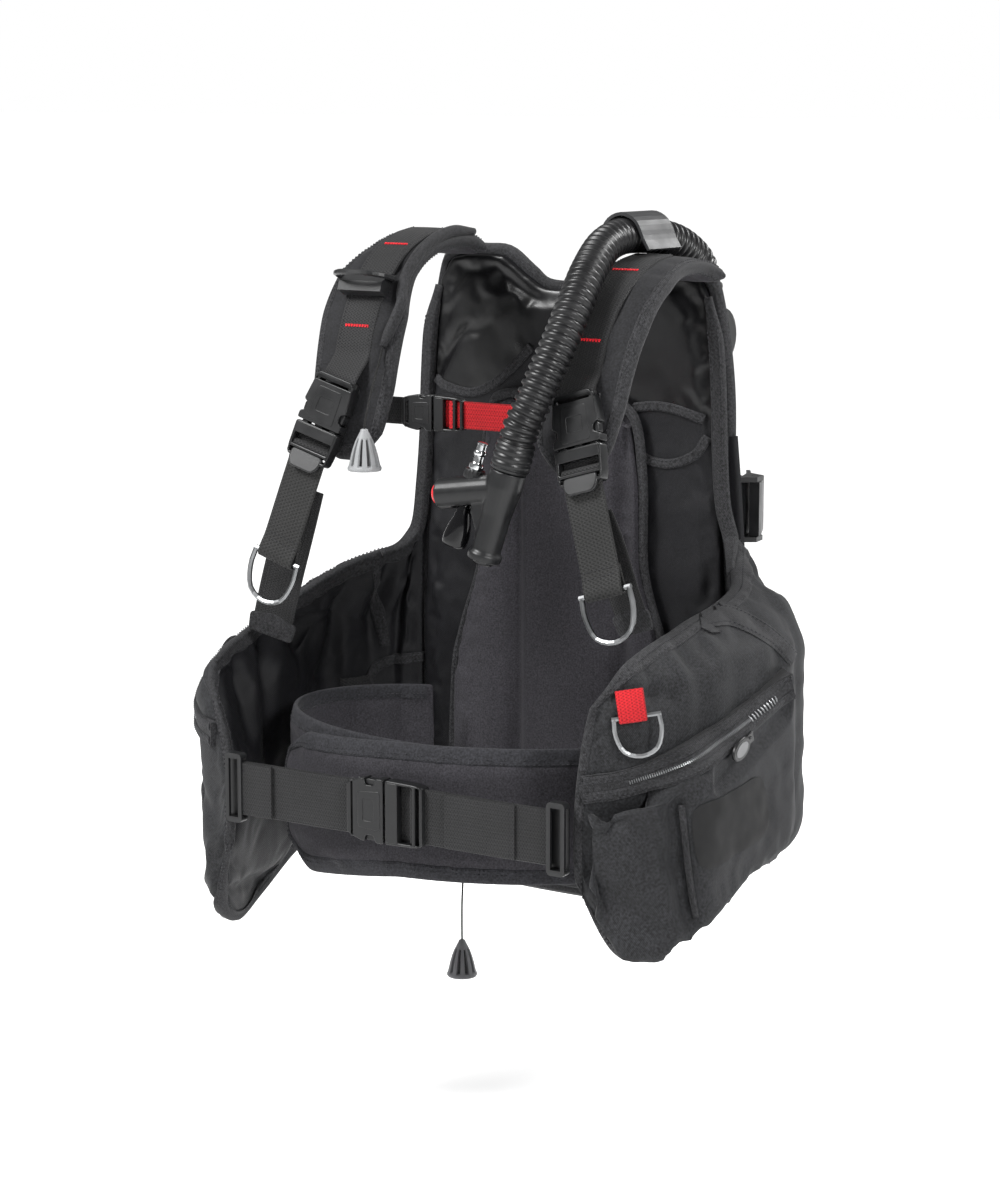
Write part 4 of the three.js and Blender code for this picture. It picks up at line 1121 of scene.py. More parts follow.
def inflator():
    collar = turned("collar", [
        (0.1, -26), (15.6, -26), (17, -25), (17.5, -23.4), *banded(-22.5, -4, 17.5, 1.0, 3),
        (17.3, -2.2), (16.4, -0.6), (0.1, -0.5),
    ], PLASTIC, INFLATOR, "vest", "hose_collar")

    body = remeshed("inflator_casting", "inflator_body", 0.9, 9)
    body.data.materials.append(SATIN_PLASTIC)
    for face in body.data.polygons:
        face.use_smooth = True
    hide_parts("inflator_body")
    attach(body, "vest")

    bar_end = INFLATOR @ BAR @ Matrix.Translation(mm(-BAR_LENGTH, 0, 0))
    inflate_at = bar_end @ Matrix.Rotation(-math.pi / 2, 4, "Y")
    red = turned("red_button", [
        (0.1, -4.4), (7.9, -4.4), (8, -0.6), (9.4, -0.5), (9.8, 0), (9.8, 2.6), (9.3, 4.0),
        (8.2, 4.9), (7.4, 5.1), (6.9, 4.7), (4, 4.1), (0.1, 4.0),
    ], RED_PLASTIC, inflate_at, "inflate_button", "inflate_button")
    column_end = INFLATOR @ Matrix.Translation(mm(0, 0, COLUMN_LOW))
    deflate_at = column_end @ Matrix.Rotation(math.pi, 4, "X")
    cap = turned("end_button", [
        (0.1, -0.9), (9.3, -0.9), (9.5, 1.2), (9.1, 2.4), (8.2, 3.3), (6, 3.6), (5.4, 3.2),
        (0.1, 3.2),
    ], GLOSS, deflate_at, "deflate_button", "deflate_button")

    inlet = INFLATOR @ Matrix.Translation(mm(INLET_X, 0, INLET_Z))

    nipple = turned("chrome_nipple", [
        (0.1, 0), (5.8, 0), (5.8, 20.6), (6.4, 21), (6.6, 22.5), (6.4, 25), (5.2, 26), (4.5, 27.5),
        (4.4, 33), (5.4, 34.2), (5.6, 35), (5.6, 36.6), (5.2, 37.4), (4.3, 38.2), (4.2, 43),
        (4.7, 43.6), (4.6, 44.6), (3.9, 45), (0.1, 45),
    ], CHROME, inlet, "vest", "lp_nipple", sharp=30)

    def knurled(angle, height):
        return 1 + 0.03 * math.cos(24 * angle) if 12 < height < 20 else 1

    sleeve = turned("nipple_sleeve", [
        (0.1, 0), (6.4, 0), (6.4, 11), (8.9, 12), (9.2, 13), (9.2, 19), (8.7, 20.2), (0.1, 20.3),
    ], PLASTIC, inlet, "vest", None, 72, knurled, 30)

    mouth = INFLATOR @ Matrix.Translation(mm(INLET_X, 0, INLET_Z - 9.5))
    flesh = Shape()
    stations = [
        (0, 5.2, 6.6, 0), (-6, 5.4, 7.0, 0), (-11, 6.0, 7.8, 0), (-16, 7.6, 8.6, 0.3),
        (-22, 9.8, 9.0, 0.2), (-29, 11.4, 9.0, -0.4), (-36, 11.9, 8.8, -0.6),
        (-40.5, 11.2, 8.2, -0.6), (-42, 9.0, 6.8, -0.6),
    ]
    sides, squareness = 40, 0.8
    ring = []
    for z, wide, deep, shift in stations:
        for k in range(sides):
            a = 2 * math.pi * k / sides
            x = wide * math.copysign(abs(math.cos(a)) ** squareness, math.cos(a)) + shift
            y = deep * math.copysign(abs(math.sin(a)) ** squareness, math.sin(a))
            ring.append(mm(x, y, z))
    faces = []
    for i in range(len(stations) - 1):
        for k in range(sides):
            a, b = i * sides + k, i * sides + (k + 1) % sides
            faces.append([b, a, a + sides, b + sides])
    faces.append(list(range(sides)))
    faces.append([(len(stations) - 1) * sides + k for k in range(sides)][::-1])
    flesh.add(ring, faces, matrix=mouth)
    lips = flesh.build("mouth_tube", GLOSS, "vest", 50, ("mouthpiece",))
    subdivide(lips)
    return [collar, body, red, cap, nipple, sleeve, lips]


inflator_pieces = inflator()
tuple(hose_line[0])
line_length(hose_line)
[tuple(p) for p in hose_line[::8] + hose_line[-1:]]
tuple(shoulder_line[0])
line_length(shoulder_line)
tuple(rear_line[0])
line_length(rear_line)


# ---------------------------------------------------------------- air cell

# From the back round to the front: x, y, top, bottom and thickness, in mm.
STATIONS = [
    (172.5, 42, -229, -562, 16), (199, 38, -234, -552, 32), (219, 16, -251, -538, 38),
    (228, -22, -283, -522, 40), (231, -80, -307, -526, 40), (226, -140, -321, -550, 39),
    (214, -190, -331, -572, 36), (202, -226, -343, -562, 26), (186, -252, -372, -497, 9),
]
# How far each lobe is lifted, dropped and drawn in, in mm, and how much it flares above the waist.
LOBE_SET = {"left": (27, 0, 0, 0.0012), "right": (-16, 48, 15, 0.0034)}
WAIST_Y, WAIST_Z = -263, -459
BACK_FRONT_Y, BACK_REAR_Y = 42, 74


def station(column, t):
    values = [row[column] for row in STATIONS]
    u = min(max(t, 0), 1) * (len(values) - 1)
    k = min(int(u), len(values) - 2)
    t = u - k
    b, c = values[k], values[k + 1]
    a = values[k - 1] if k else 2 * b - c
    d = values[k + 2] if k + 2 < len(values) else 2 * c - b
    return between(a, b, c, d, t)


def lobe_thick(t, v, hem=10):
    full = station(4, t)
    return lerp(min(hem, full), full, math.sqrt(min(min(v, 1 - v) / 0.16, 1)))


def lobe_point(side, t, v, depth, beyond=0.0):
    """A point of a side lobe in the left lobe's frame: t along it, v up it, depth through it."""
    lift, drop, draw, flare_above = LOBE_SET[side]
    x, y = station(0, t), station(1, t)
    ahead, behind = min(t + 0.01, 1), max(t - 0.01, 0)
    along = Vector([station(c, ahead) - station(c, behind) for c in (0, 1)]).normalized()
    sag = drop * math.sin(math.pi * smoothstep(t, 0.05, 1.15))
    top = station(2, t) + lift * smoothstep(t, 0.25, 0.6) + beyond
    z = lerp(station(3, t) - sag - beyond, top, v)
    reach = lobe_thick(t, v) * depth
    lean = 0.45 * max(z + 330, 0) * min(max((x - 172) / 50, 0), 1)
    above = z - WAIST_Z
    flare = t ** 4 * (flare_above if above > 0 else 0.0012) * above * above
    shift = flare - lean - draw * t ** 3
    return Vector((x - along.y * reach + shift, y + along.x * reach, z))


def radiating(t, v, folds):
    """Folds from the top hem that die out down the lobe: (place, lean, width, depth, reach)."""
    total = 0.0
    for place, slant, width, depth, reach in folds:
        off = (t - place - slant * (1 - v)) / width
        total -= depth * math.exp(-off * off) * smoothstep(v, 1 - reach, 0.94)
    return total


INNER_FOLDS = [
    (0.10, 0.05, 0.020, 9, 0.75), (0.24, -0.03, 0.022, 12, 0.55), (0.36, 0.07, 0.026, 10, 0.8),
    (0.50, -0.05, 0.024, 13, 0.5), (0.61, 0.08, 0.022, 9, 0.7), (0.72, 0.0, 0.020, 11, 0.45),
    (0.84, 0.06, 0.018, 7, 0.6),
]


def side_lobe(side):
    sign = 1 if side == "left" else -1

    def middle(s, t):
        p = lobe_point(side, s, t, 0.5)
        dip = 34 if side == "right" else 12
        dip *= bell(s, 0.19, 0.15) * smoothstep(s, 0, 0.08) * smoothstep(t, 0.35, 1)
        return mm(sign * p.x, p.y, p.z - dip)

    def thick(s, t):
        end = min(min(s, 1 - s) / 0.04, 1)
        return max(lobe_thick(s, t, 5) - 5, 2.5) * lerp(0.45, 1, math.sqrt(end)) + 0.5

    def creases(s, t, skin):
        inner = (skin == 0) == (side == "left")
        fine = noise.noise(Vector((s * 9, t * 5, 3.0 if inner else 8.0)))
        ridge = 1.6 * (1 - 2 * abs(noise.noise(Vector((s * 14 + t * 5, t * 9 - s * 4, 1.5)))))
        edge = min(min(s, 1 - s) * 8, min(t, 1 - t) * 8, 1)
        if inner:
            folds = (1.5 if side == "right" else 1.0) * radiating(s, t, INNER_FOLDS)
        else:
            folds = 0.5 * radiating(s + 0.05, t, INNER_FOLDS)
        return (folds + 2.0 * fine + ridge) * edge

    looks = [LINING, CORDURA] if side == "left" else [CORDURA, LINING]
    pillow = Pillow(f"lobe_{side}", middle, thick, 64, 48, looks, "vest", pressure=2.5, growth=0.06,
                    cap=7, replaces=(f"bladder_lobe_{side}",), creases=creases)
    pillow.bind(BINDING, rings=2, thick=1.0)
    return pillow


lobes = {side: side_lobe(side) for side in SIDES}

BACK_OUTLINE = [
    (28, -20), (50, -9), (74, 3), (98, 1), (136, -2), (150, -24), (163, -110), (164, -236),
    (171, -340), (171, -560), (150, -592), (90, -602), (0, -604), (-90, -602), (-150, -592),
    (-171, -560), (-171, -340), (-164, -236), (-163, -110), (-150, -14), (-136, 9), (-98, 12),
    (-74, 10), (-50, -7), (-28, -20),
]
YOKE_HEM_Z = -118
YOKE_HEM = ((-152, -135, -107, -80, -58, -40, 0, 40, 74, 95, 118, 146),
            (-112, -119, -123, -112, -94, -76, -80, -100, -127, -124, -126, -134))


def bound_rim(name, outline, y, width, thick):
    """A binding round a closed outline of (x, z) points at that depth."""
    rim = curve_through([mm(x, y, z) for x, z in outline + outline[:1]], 0.006)
    section = strap_section(width * MM, thick * MM, 1.0 * MM)
    shape = Shape().sweep(rim, section, [FORWARD] * len(rim), closed=True)
    shape.build(name, BINDING, "vest", None)
    return rim


def back_panel():
    def sewn(x, y, z):
        return near_line(x, z, BACK_OUTLINE, 7)

    def folds(x, y, z):
        front = y < (BACK_FRONT_Y + BACK_REAR_Y) / 2
        soft = noise.noise(Vector((x, y * 0.5, z)) / 34 + Vector((4, 1, 7)))
        fine = abs(noise.noise(Vector((x * 1.6, y, z * 0.8)) / 16))
        yoke = front and z > YOKE_HEM_Z
        wrinkle = (1.2 if yoke else 2.2) * soft - (0.9 if yoke else 2.2) * fine
        return wrinkle * (1 - sewn(x, y, z)) - 0.5

    def paint(x, y, z):
        if y < BACK_FRONT_Y + 6 and z > np.interp(x, *YOKE_HEM):
            return 1
        return 2 if y < BACK_FRONT_Y + 12 else 0

    panel = soft_copy("back_cell", "bladder_back", [CORDURA, VINYL, LINING], folds, 0.04, 5,
                      sewn=sewn, paint=paint)
    bound_rim("back_binding", BACK_OUTLINE, (BACK_FRONT_Y + BACK_REAR_Y) / 2, 15, 11)


back_panel()


def back_padding():
    half = [(58, -121), (80, -140), (88, -200), (90, -280), (112, -352), (122, -402), (124, -540),
            (104, -566), (40, -572)]
    outline = half + [(-x, z) for x, z in reversed(half)]
    valleys = (-44, 72)

    def sewn(x, y, z):
        return near_line(x, z, outline, 5)

    def folds(x, y, z):
        if y > 34:
            return -1.0
        dip = sum(bell(x, v, 7) for v in valleys)
        swell = 4.5 * bell(x, 14, 32) + 3.0 * bell(x, -76, 14)
        return swell - 9.5 * dip + 0.8 * noise.noise(Vector((x, y, z * 0.4)) / 30) - 1.0

    pad = soft_copy("back_cushion", "back_pad", [FOAM_CLOTH], folds, 0.03, 5, 8, sewn)
    rim = bound_rim("cushion_binding", outline, 32, 11, 6)
    thread = Shape()
    lane = [p + Vector((0, -4.2 * MM, 0)) for p in rim]
    stitches(thread, lane, [FORWARD] * len(lane))
    thread.build("cushion_stitches", THREAD, "vest")


back_padding()


# ---------------------------------------------------------------- cummerbund


def wrap_point(angle, half_width, half_depth, z):
    a = math.radians(angle)
    return mm(half_width * math.cos(a), -108 + half_depth * math.sin(a), z)


def belly_band(name, node, first, last, half_width, half_depth, top, bottom, thickness, across):
    """A half of the cummerbund: top and bottom are heights against X. Its far end is rounded when
    last is below first.
    """
    def middle(s, t):
        pull = abs(2 * t - 1) ** 3 * (7 if last < first else -2)
        angle = lerp(first, last + pull, s)
        x = half_width * math.cos(math.radians(angle))
        low, high = np.interp(x, *bottom), np.interp(x, *top)
        round_off = 16 * smoothstep(s, 0.93, 1) if last < first else 0
        return wrap_point(angle, half_width, half_depth, lerp(low + round_off, high - round_off, t))

    def thick(s, t):
        edge = min(min(s, 1 - s) * across / 6, min(t, 1 - t) * 24 / 4, 1)
        return lerp(2.5, thickness - 1.5, math.sqrt(edge))

    def creases(s, t, skin):
        return 1.4 * noise.noise(Vector((s * 12, t * 2.5, skin * 5.0))) * min(t, 1 - t) * 4

    band = Pillow(name, middle, thick, across, 24, [FOAM_CLOTH] * 2, "vest", pressure=1.2,
                  growth=0.02, cap=2.5, replaces=(node,), creases=creases)
    band.bind(VELCRO, rings=3, thick=0.9)


belly_band("band_outer", "cummerbund_left", 52, -142, 206, 134,
           ((-152, 0, 320), (-412, -401, -392)),
           ((-150, -110, 0, 320), (-536, -540, -524, -512)), 9, 96)
belly_band("band_inner", "cummerbund_right", 128, 320, 192, 121,
           ((-320, 140), (-400, -405)), ((-320, 138), (-512, -516)), 8, 90)


# ---------------------------------------------------------------- shoulders

PAD_CURVE = [
    (41, 14.5), (20, 23), (-10, 25), (-40, 20), (-70, 7), (-95, -16), (-112, -42), (-124, -72),
    (-134, -105), (-142, -135), (-150, -170),
]
PAD_THICK, WEB, WEB_THICK, HARNESS_X = 16, 40, 2.4, 123
PAD_INNER = ((-171, -138, -105, -40, -5, 50), (92, 83, 78, 78, 88, 92))
PAD_OUTER = ((-171, -149, -110, -40, -5, 14, 50), (150, 157, 166, 172, 171, 160, 154))


def pad_points(side):
    sag = 17 if side == "left" else 0
    return [(y, z - sag * min(max((z + 90) / 100, 0), 1)) for y, z in PAD_CURVE]


def shoulder_pad(side):
    sign = 1 if side == "left" else -1
    line = curve_through([mm(0, y, z) for y, z in pad_points(side)], 0.001)
    heights = [p.z / MM for p in line]

    def middle(s, t):
        t = t if sign > 0 else 1 - t
        low = -169 + 26 * abs(2 * t - 1) ** 2.6
        end = next((i for i, z in enumerate(heights) if z < low), len(line) - 1)
        p = line[int(round(s * end))] if s < 1 else line[end]
        z = p.z / MM
        x = lerp(np.interp(z, *PAD_INNER), np.interp(z, *PAD_OUTER), t)
        return Vector((sign * x * MM, p.y, p.z))

    def thick(s, t):
        edge = min((1 - s) * 42 / 5, min(t, 1 - t) * 16 / 3, 1)
        return lerp(4.5, PAD_THICK - 1.0, math.sqrt(edge))

    def creases(s, t, skin):
        return 0.8 * noise.noise(Vector((s * 10, t * 4, skin * 3.0 + sign))) * min(t, 1 - t) * 4

    pad = Pillow(f"pad_{side}", middle, thick, 44, 18, [MESH_CLOTH, FOAM_CLOTH], "vest",
                 pressure=2.0, growth=0.02, cap=3, replaces=(f"shoulder_pad_{side}",),
                 creases=creases)
    pad.bind(BINDING, rings=2, thick=0.9)


for each in SIDES:
    shoulder_pad(each)


def offset_line(points, distance, x):
    """A line in a YZ plane, moved off to its outer side."""
    line = curve_through([mm(x, y, z) for y, z in points], 0.003)
    normals = [Vector((0, d.z, -d.y)) for d in directions(line)]
    return [p + n * (distance * MM) for p, n in zip(line, normals)], normals


BUCKLE = strap_frame((139, -163, -139), (0.27, -0.26, -0.93))
TAIL_DIRECTION, TAIL_LENGTH = (0.3, -0.1, -0.95), 94
MALE_LENGTH, RELEASE_TRAVEL = 33, 20
TAIL = strap_frame((BUCKLE @ mm(0, -1.2, -MALE_LENGTH - 1.2)) / MM, TAIL_DIRECTION)


def shoulder_web(side):
    shape = Shape()
    points = [*pad_points(side)[2:8], (-131.6, -98)]
    line, normals = offset_line(points, PAD_THICK / 2 + 1 + WEB_THICK / 2, HARNESS_X)
    tacked = len(line)
    into = [BUCKLE @ mm(0, 0.4, 52), BUCKLE @ mm(0, 0.2, 44)]
    line = curve_through(line[:-6:4] + into, 0.003)
    normals = carried_normals(line, normals[0])
    strap(shape, line, normals, WEB, WEB_THICK, 0.3)
    built(shape, side, "harness_web", WEBBING, "vest", ("shoulder_web",))
    tacks = Shape()
    for share in (0.30, 0.80):
        i = int(share * (tacked - 1))
        along = directions(line)[i]
        bar_tack(tacks, line[i] + normals[i] * 1.7 * MM, Vector((1, 0, 0)), along, normals[i], 26)
    built(tacks, side, "red_tacks", RED_THREAD, "vest")
    thread = Shape()
    for edge in (-1, 1):
        lane = [p + Vector((edge * 16.5 * MM, 0, 0)) + n * 1.3 * MM for p, n in zip(line, normals)]
        stitches(thread, lane[:-12], normals[:-12])
    built(thread, side, "web_stitches", THREAD, "vest")


def strap_tail(side):
    """The webbing below the buckle: a run down, folded round the ring and sewn to itself."""
    shape, thread = Shape(), Shape()
    foot = -TAIL_LENGTH
    path = [(0, 6), (-0.2, -10), (-0.6, -40), (-0.9, foot + 20), (-2.6, foot + 8),
            (-3.6, foot + 1), (-2.2, foot - 3.4), (0.2, foot - 4.2), (2.6, foot - 2.8),
            (3.4, foot + 2), (2.4, foot + 9), (1.6, foot + 22)]
    local = curve_through([mm(0, y, z) for y, z in path], 0.0018)
    tangents = directions(local)
    line = [TAIL @ p for p in local]
    turn = TAIL.to_3x3()
    normals = [turn @ Vector((0, t.z, -t.y)) for t in tangents]
    strap(shape, line, normals, WEB, 2.2, 0.2)
    built(shape, side, "tail_web", TAIL_WEBBING, f"shoulder_release_{side}", ("strap_tail",))
    for height in (14, 20):
        row = [TAIL @ mm(a, -3.0 if height < 17 else -2.4, foot + height) for a in (-17, 17)]
        stitches(thread, row, [turn @ FORWARD] * 2, lift=0.1)
    built(thread, side, "tail_stitches", THREAD, f"shoulder_release_{side}")


def lower_strap(side):
    """The strap sewn to the lobe's top hem, which runs up behind the tail."""
    hem = lobe_point(side, 0.66, 1, 0) + Vector((-WEB / 2 - 3, 0, 4))
    start = (BUCKLE @ mm(0, 4, -MALE_LENGTH)) / MM
    along = (hem - start).normalized()
    top = start + along * (RELEASE_TRAVEL + 6)
    place = strap_frame(top, along, (-0.3, -1, 0))
    length = (hem - top).length
    turn = place.to_3x3()
    normal = turn @ FORWARD
    line = [place @ mm(0.8 * math.sin(t * math.pi), 1.2 * math.sin(t * 2 * math.pi), -length * t)
            for t in (k / 20 for k in range(21))]
    shape = Shape()
    strap(shape, line, [normal] * len(line), WEB, WEB_THICK, 0.3)
    # A corner patch where it meets the hem.
    patch = Shape()
    plate(patch, [fillet([(-22, -9), (22, -9), (24, 9), (0, 15), (-24, 9)], 4)], 2.6, 0.9,
          place @ Matrix.Translation(mm(0, -1.2, -length + 4)))
    built(shape, side, "anchor_web", WEBBING, "vest", ("shoulder_strap_lower",))
    built(patch, side, "anchor_patch", BINDING, "vest")


def along_x(x0, x1, y, z, step=3.0, wave=0.0):
    count = max(2, int(abs(x1 - x0) / step))
    return [mm(lerp(x0, x1, k / count), y + wave * math.sin(math.pi * 2 * k / count), z)
            for k in range(count + 1)]


def flat_strap(name, x0, x1, y, z, width, look, replaces, wave=0.0, body="vest", thick=2.4):
    shape = Shape()
    line = along_x(x0, x1, y, z, 3.0, wave)
    strap(shape, line, [FORWARD] * len(line), width, thick, 0.3)
    return shape.build(name, look, body, 40, replaces)


for each in SIDES:
    shoulder_web(each)
    strap_tail(each)
    lower_strap(each)

CHEST_Y, CHEST_Z = -121, -124
flat_strap("chest_web", -112, -68, CHEST_Y, CHEST_Z, 25, WEBBING, ("chest_strap_right",))
flat_strap("chest_red_web", -16, 112, CHEST_Y, CHEST_Z, 25, RED_WEBBING, ("chest_strap_left",),
           0.0, "chest_release")
flat_strap("waist_web_right", -161, -29, WAIST_Y, WAIST_Z, 50, WEBBING, ("waist_strap_right",), 0.5)
flat_strap("waist_web_left", 37, 173, WAIST_Y, WAIST_Z, 50, WEBBING, ("waist_strap_left",),
           0.5, "waist_release")


def waist_tails():
    """The doubled, stitched ends of the waist webbing."""
    y = WAIST_Y - 2.7
    for side, x0, x1, body in (("right", -158, -122, "vest"), ("left", 66, 138, "waist_release")):
        flat_strap(f"waist_tail_{side}", x0, x1, y, WAIST_Z, 49, WEBBING, (), 0.3, body)
        thread = Shape()
        end = x1 - 5
        for x in (end, end - 26):
            row = [mm(x, y - 1.3, WAIST_Z + h) for h in (-21, 21)]
            stitches(thread, row, [FORWARD] * 2, lift=0.1)
        thread.build(f"waist_tail_stitches_{side}", THREAD, body)


waist_tails()


# ---------------------------------------------------------------- cylinder band and handle

TANK_Y, BAND_RADIUS, BAND_WIDTH, BAND_Z, PLATE_Y = 190, 97, 50, -240, 74.5


def cylinder_band():
    line = [mm(BAND_RADIUS * math.cos(a), TANK_Y + BAND_RADIUS * math.sin(a), BAND_Z)
            for a in (math.radians(lerp(24, 366, k / 150)) for k in range(151))]
    normals = [(p - mm(0, TANK_Y, BAND_Z)).normalized() for p in line]
    shape = Shape()
    strap(shape, line, normals, BAND_WIDTH, 3.0, 0.2)
    shape.build("cylinder_web", WEBBING, "vest", 40, ("tank_band",))


def handle():
    path = [(-29, -100), (-29.5, -86), (-26, -66), (-13, -52), (0, -49), (13, -52), (26, -66),
            (29.5, -86), (29, -100)]
    line = curve_through([mm(x, PLATE_Y + 10.2, z) for x, z in path], 0.003)
    shape = Shape()
    shape.sweep(line, strap_section(7.4 * MM, 7.2 * MM, 0.3 * MM), [Vector((0, 1, 0))] * len(line))
    shape.build("grab_handle", WEBBING, "vest", 40, ("carry_handle",))


cylinder_band()
handle()


# ---------------------------------------------------------------- pockets


def pocket(side):
    sign = 1 if side == "left" else -1

    def folds(x, y, z):
        x = x * sign
        soft = noise.noise(Vector((x, y, z)) / 30 + Vector((2, 5, sign)))
        crease = abs(noise.noise(Vector((x * 0.6, y * 1.2 + z * 0.6, z * 0.8 - y * 0.4)) / 26))
        corner = -231 + (z + 418) * -0.12
        bellows = -15 * bell(y, corner, 8) * smoothstep(-z, 405, 425) * smoothstep(z, -546, -510)
        slant = z * 0.55 + y
        front = smoothstep(-y, 222, 232)
        creased = bell(slant, -492, 7) + bell(slant, -532, 8)
        pleats = -7 * smoothstep(z, -552, -530) * front * creased
        calm = lerp(0.25, 1, smoothstep(z, -552, -520)) * lerp(0.3, 1, smoothstep(-z, 400, 425))
        return (1.6 * soft - 3.0 * crease) * calm + bellows + pleats

    bag = soft_copy(f"pocket_bag_{side}", f"pocket_{side}", [CORDURA], folds, 0.03, 6, 5)
    return bag


ZIP_LINE = [(-4, -416), (37, -408), (98, -388), (150, -369), (196, -350)]
PANEL_TOP = [(112, -289), (134, -289), (157, -297), (181, -312), (203, -334)]
FOLD_EDGE = [(80, -426), (86, -478), (93, -524)]
PATCH_SPOTS = [(90, -455), (128, -450), (165, -443)]


TRIM_FACING = (0.62, -0.785, 0)  # the way the pockets' outer sides face, on the left
SLIDE_SLOPE, SLIDE_COS, SLIDE_SIN = 0.347, 0.945, 0.328  # of the way that a zip's slider runs
CLOTH_LIMIT, BAND_LIMIT = 288.8, 290.4  # how far out the cloth and the zip's band may stand there


def clear_of_slide(point, limit):
    """Presses a point, in mm on the left side, under the plane that the zip's slider runs over."""
    x, y, z = point
    off = abs(z + 382 - (y + 140) * SLIDE_SLOPE) * SLIDE_COS
    room = 9 * (smoothstep(off, 12, 27) + smoothstep(y, -70, -48) + smoothstep(-y, 188, 208))
    return min(x, limit + room), y, z


def pocket_trim(side, bag, lobe):
    """What is sewn on the outside of a lobe and its pocket, drawn on the left and mirrored."""
    flip = np.array([1 if side == "left" else -1, 1, 1])
    for piece in (bag, lobe):
        spots = positions(piece.data) * flip / MM
        pressed = np.array([clear_of_slide(p, CLOTH_LIMIT) for p in spots])
        set_positions(piece.data, pressed * flip * MM)
    if side == "right":
        skins = []
        for piece in (bag, lobe):
            mesh = piece.data.copy()
            set_positions(mesh, positions(mesh) * np.array([-1, 1, 1]))
            skins.append(bpy.data.objects.new("skin", mesh))
    else:
        skins = [bag, lobe]
    drape = Drape(skins, TRIM_FACING)
    band, tape, thread, teeth, red = Shape(), Shape(), Shape(), Shape(), Shape()
    drape.strip(band, ZIP_LINE, 24, 1.5, bridge=2)
    band.points = [mm(*clear_of_slide(p / MM, BAND_LIMIT)) for p in band.points]
    over = Drape([band], TRIM_FACING)
    over.strip(tape, [(a, z + 7.5) for a, z in ZIP_LINE], 7, 1.4)
    over.strip(tape, [(a, z - 6.5) for a, z in ZIP_LINE], 7, 1.4)
    for offset in (9.6, 5.4, -4.4, -8.6):
        over.seam(thread, [(a, z + offset) for a, z in ZIP_LINE], 1.5)
    drape.strip(tape, FOLD_EDGE, 5, 2.4)
    if side == "left":
        drape.strip(tape, PANEL_TOP, 13, 2.0)
        drape.seam(thread, PANEL_TOP, 2.1, 4.6)
        drape.seam(thread, PANEL_TOP, 2.1, -4.6)
    over.seam(teeth, ZIP_LINE[1:4], 0.5, pitch=2.0, length=1.2, width=3.4)
    over.seam(teeth, [(150, -369), (164, -363.5), (180, -357)], 0.8, pitch=4.4, length=1.8,
              width=6.5)
    built(band, side, "zip_band", BINDING, "vest")
    built(tape, side, "zip_tape", BINDING, "vest")
    built(thread, side, "pocket_stitches", THREAD, "vest")
    built(teeth, side, "zip_teeth", ZIP_TEETH, "vest")

    patch = Shape()
    drape.strip(patch, PATCH_SPOTS, rounded_end(58, 76, 13), 1.6, columns=14, step=1.5)
    built(patch, side, "rubber_patch", PATCH_RUBBER, "vest")
    if side == "left":
        loop = strap_frame((242, -240, -350), (0.14, 0.05, -1), (0.52, -0.85, 0.15))
        path = [(6, 22), (1.0, 14), (-2.6, 7), (-3.6, 1.5), (-3.0, -2.2), (0, -3.9), (3, -2.4),
                (3.8, 2), (5, 12)]
        local = curve_through([mm(0, y, z) for y, z in path], 0.0015)
        turn = loop.to_3x3()
        facings = [turn @ Vector((0, t.z, -t.y)) for t in directions(local)]
        strap(red, [loop @ (p + mm(-3, 0, 0)) for p in local], facings, 24, 1.8, 0.2)
        built(red, side, "red_tab", RED_WEBBING, "vest")
    for skin in skins if side == "right" else []:
        bpy.data.objects.remove(skin)


for each in SIDES:
    pocket_trim(each, pocket(each), lobes[each].piece)


def zip_pull(side):
    """The slider and its oval rubber pull with a grey oval on it, lying along the zip."""
    low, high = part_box(f"zip_slider_{side}")
    slope = Vector((0, SLIDE_COS, SLIDE_SIN)).normalized()
    foot = Vector((min(abs(low[0]), abs(high[0])), 0, 0))
    head = 7.0 * MM
    foot.y = high[1] - head * slope.y - 0.0008
    middle = (low[2] + high[2]) / 2
    centre_y = (low[1] + high[1]) / 2
    foot.z = middle + (foot.y - centre_y) * slope.z / slope.y
    out = Vector((1, 0, 0))
    basis = Matrix((slope, out, slope.cross(out))).transposed().to_4x4()
    place = Matrix.Translation(foot) @ basis
    shape = Shape()
    hull_plate(shape, [fillet([(-7, -4), (7, -5), (7, 5), (-7, 4)], 1.5)], 0.2, 2.6, 0.7, place, 1)
    hull_plate(shape, [rounded_box(3.4, 1.6, 1.2)], 2.0, 4.2, 0.6, place, 1)
    turns = [k * math.pi / 20 for k in range(40)]
    oval = [(-17 + 15 * math.cos(a), 9 * math.sin(a)) for a in turns]
    inner = [(-17.5 + 10.5 * math.cos(a), 5.6 * math.sin(a)) for a in turns]
    hull_plate(shape, [oval], 1.4, 4.4, 1.2, place, 0)
    hull_plate(shape, [inner], 4.0, 4.9, 0.3, place, 2)
    built(shape, side, "zip_pull", [RUBBER, SATIN_PLASTIC, OVAL_GREY], f"zip_slider_{side}",
          ("zip_slider",))


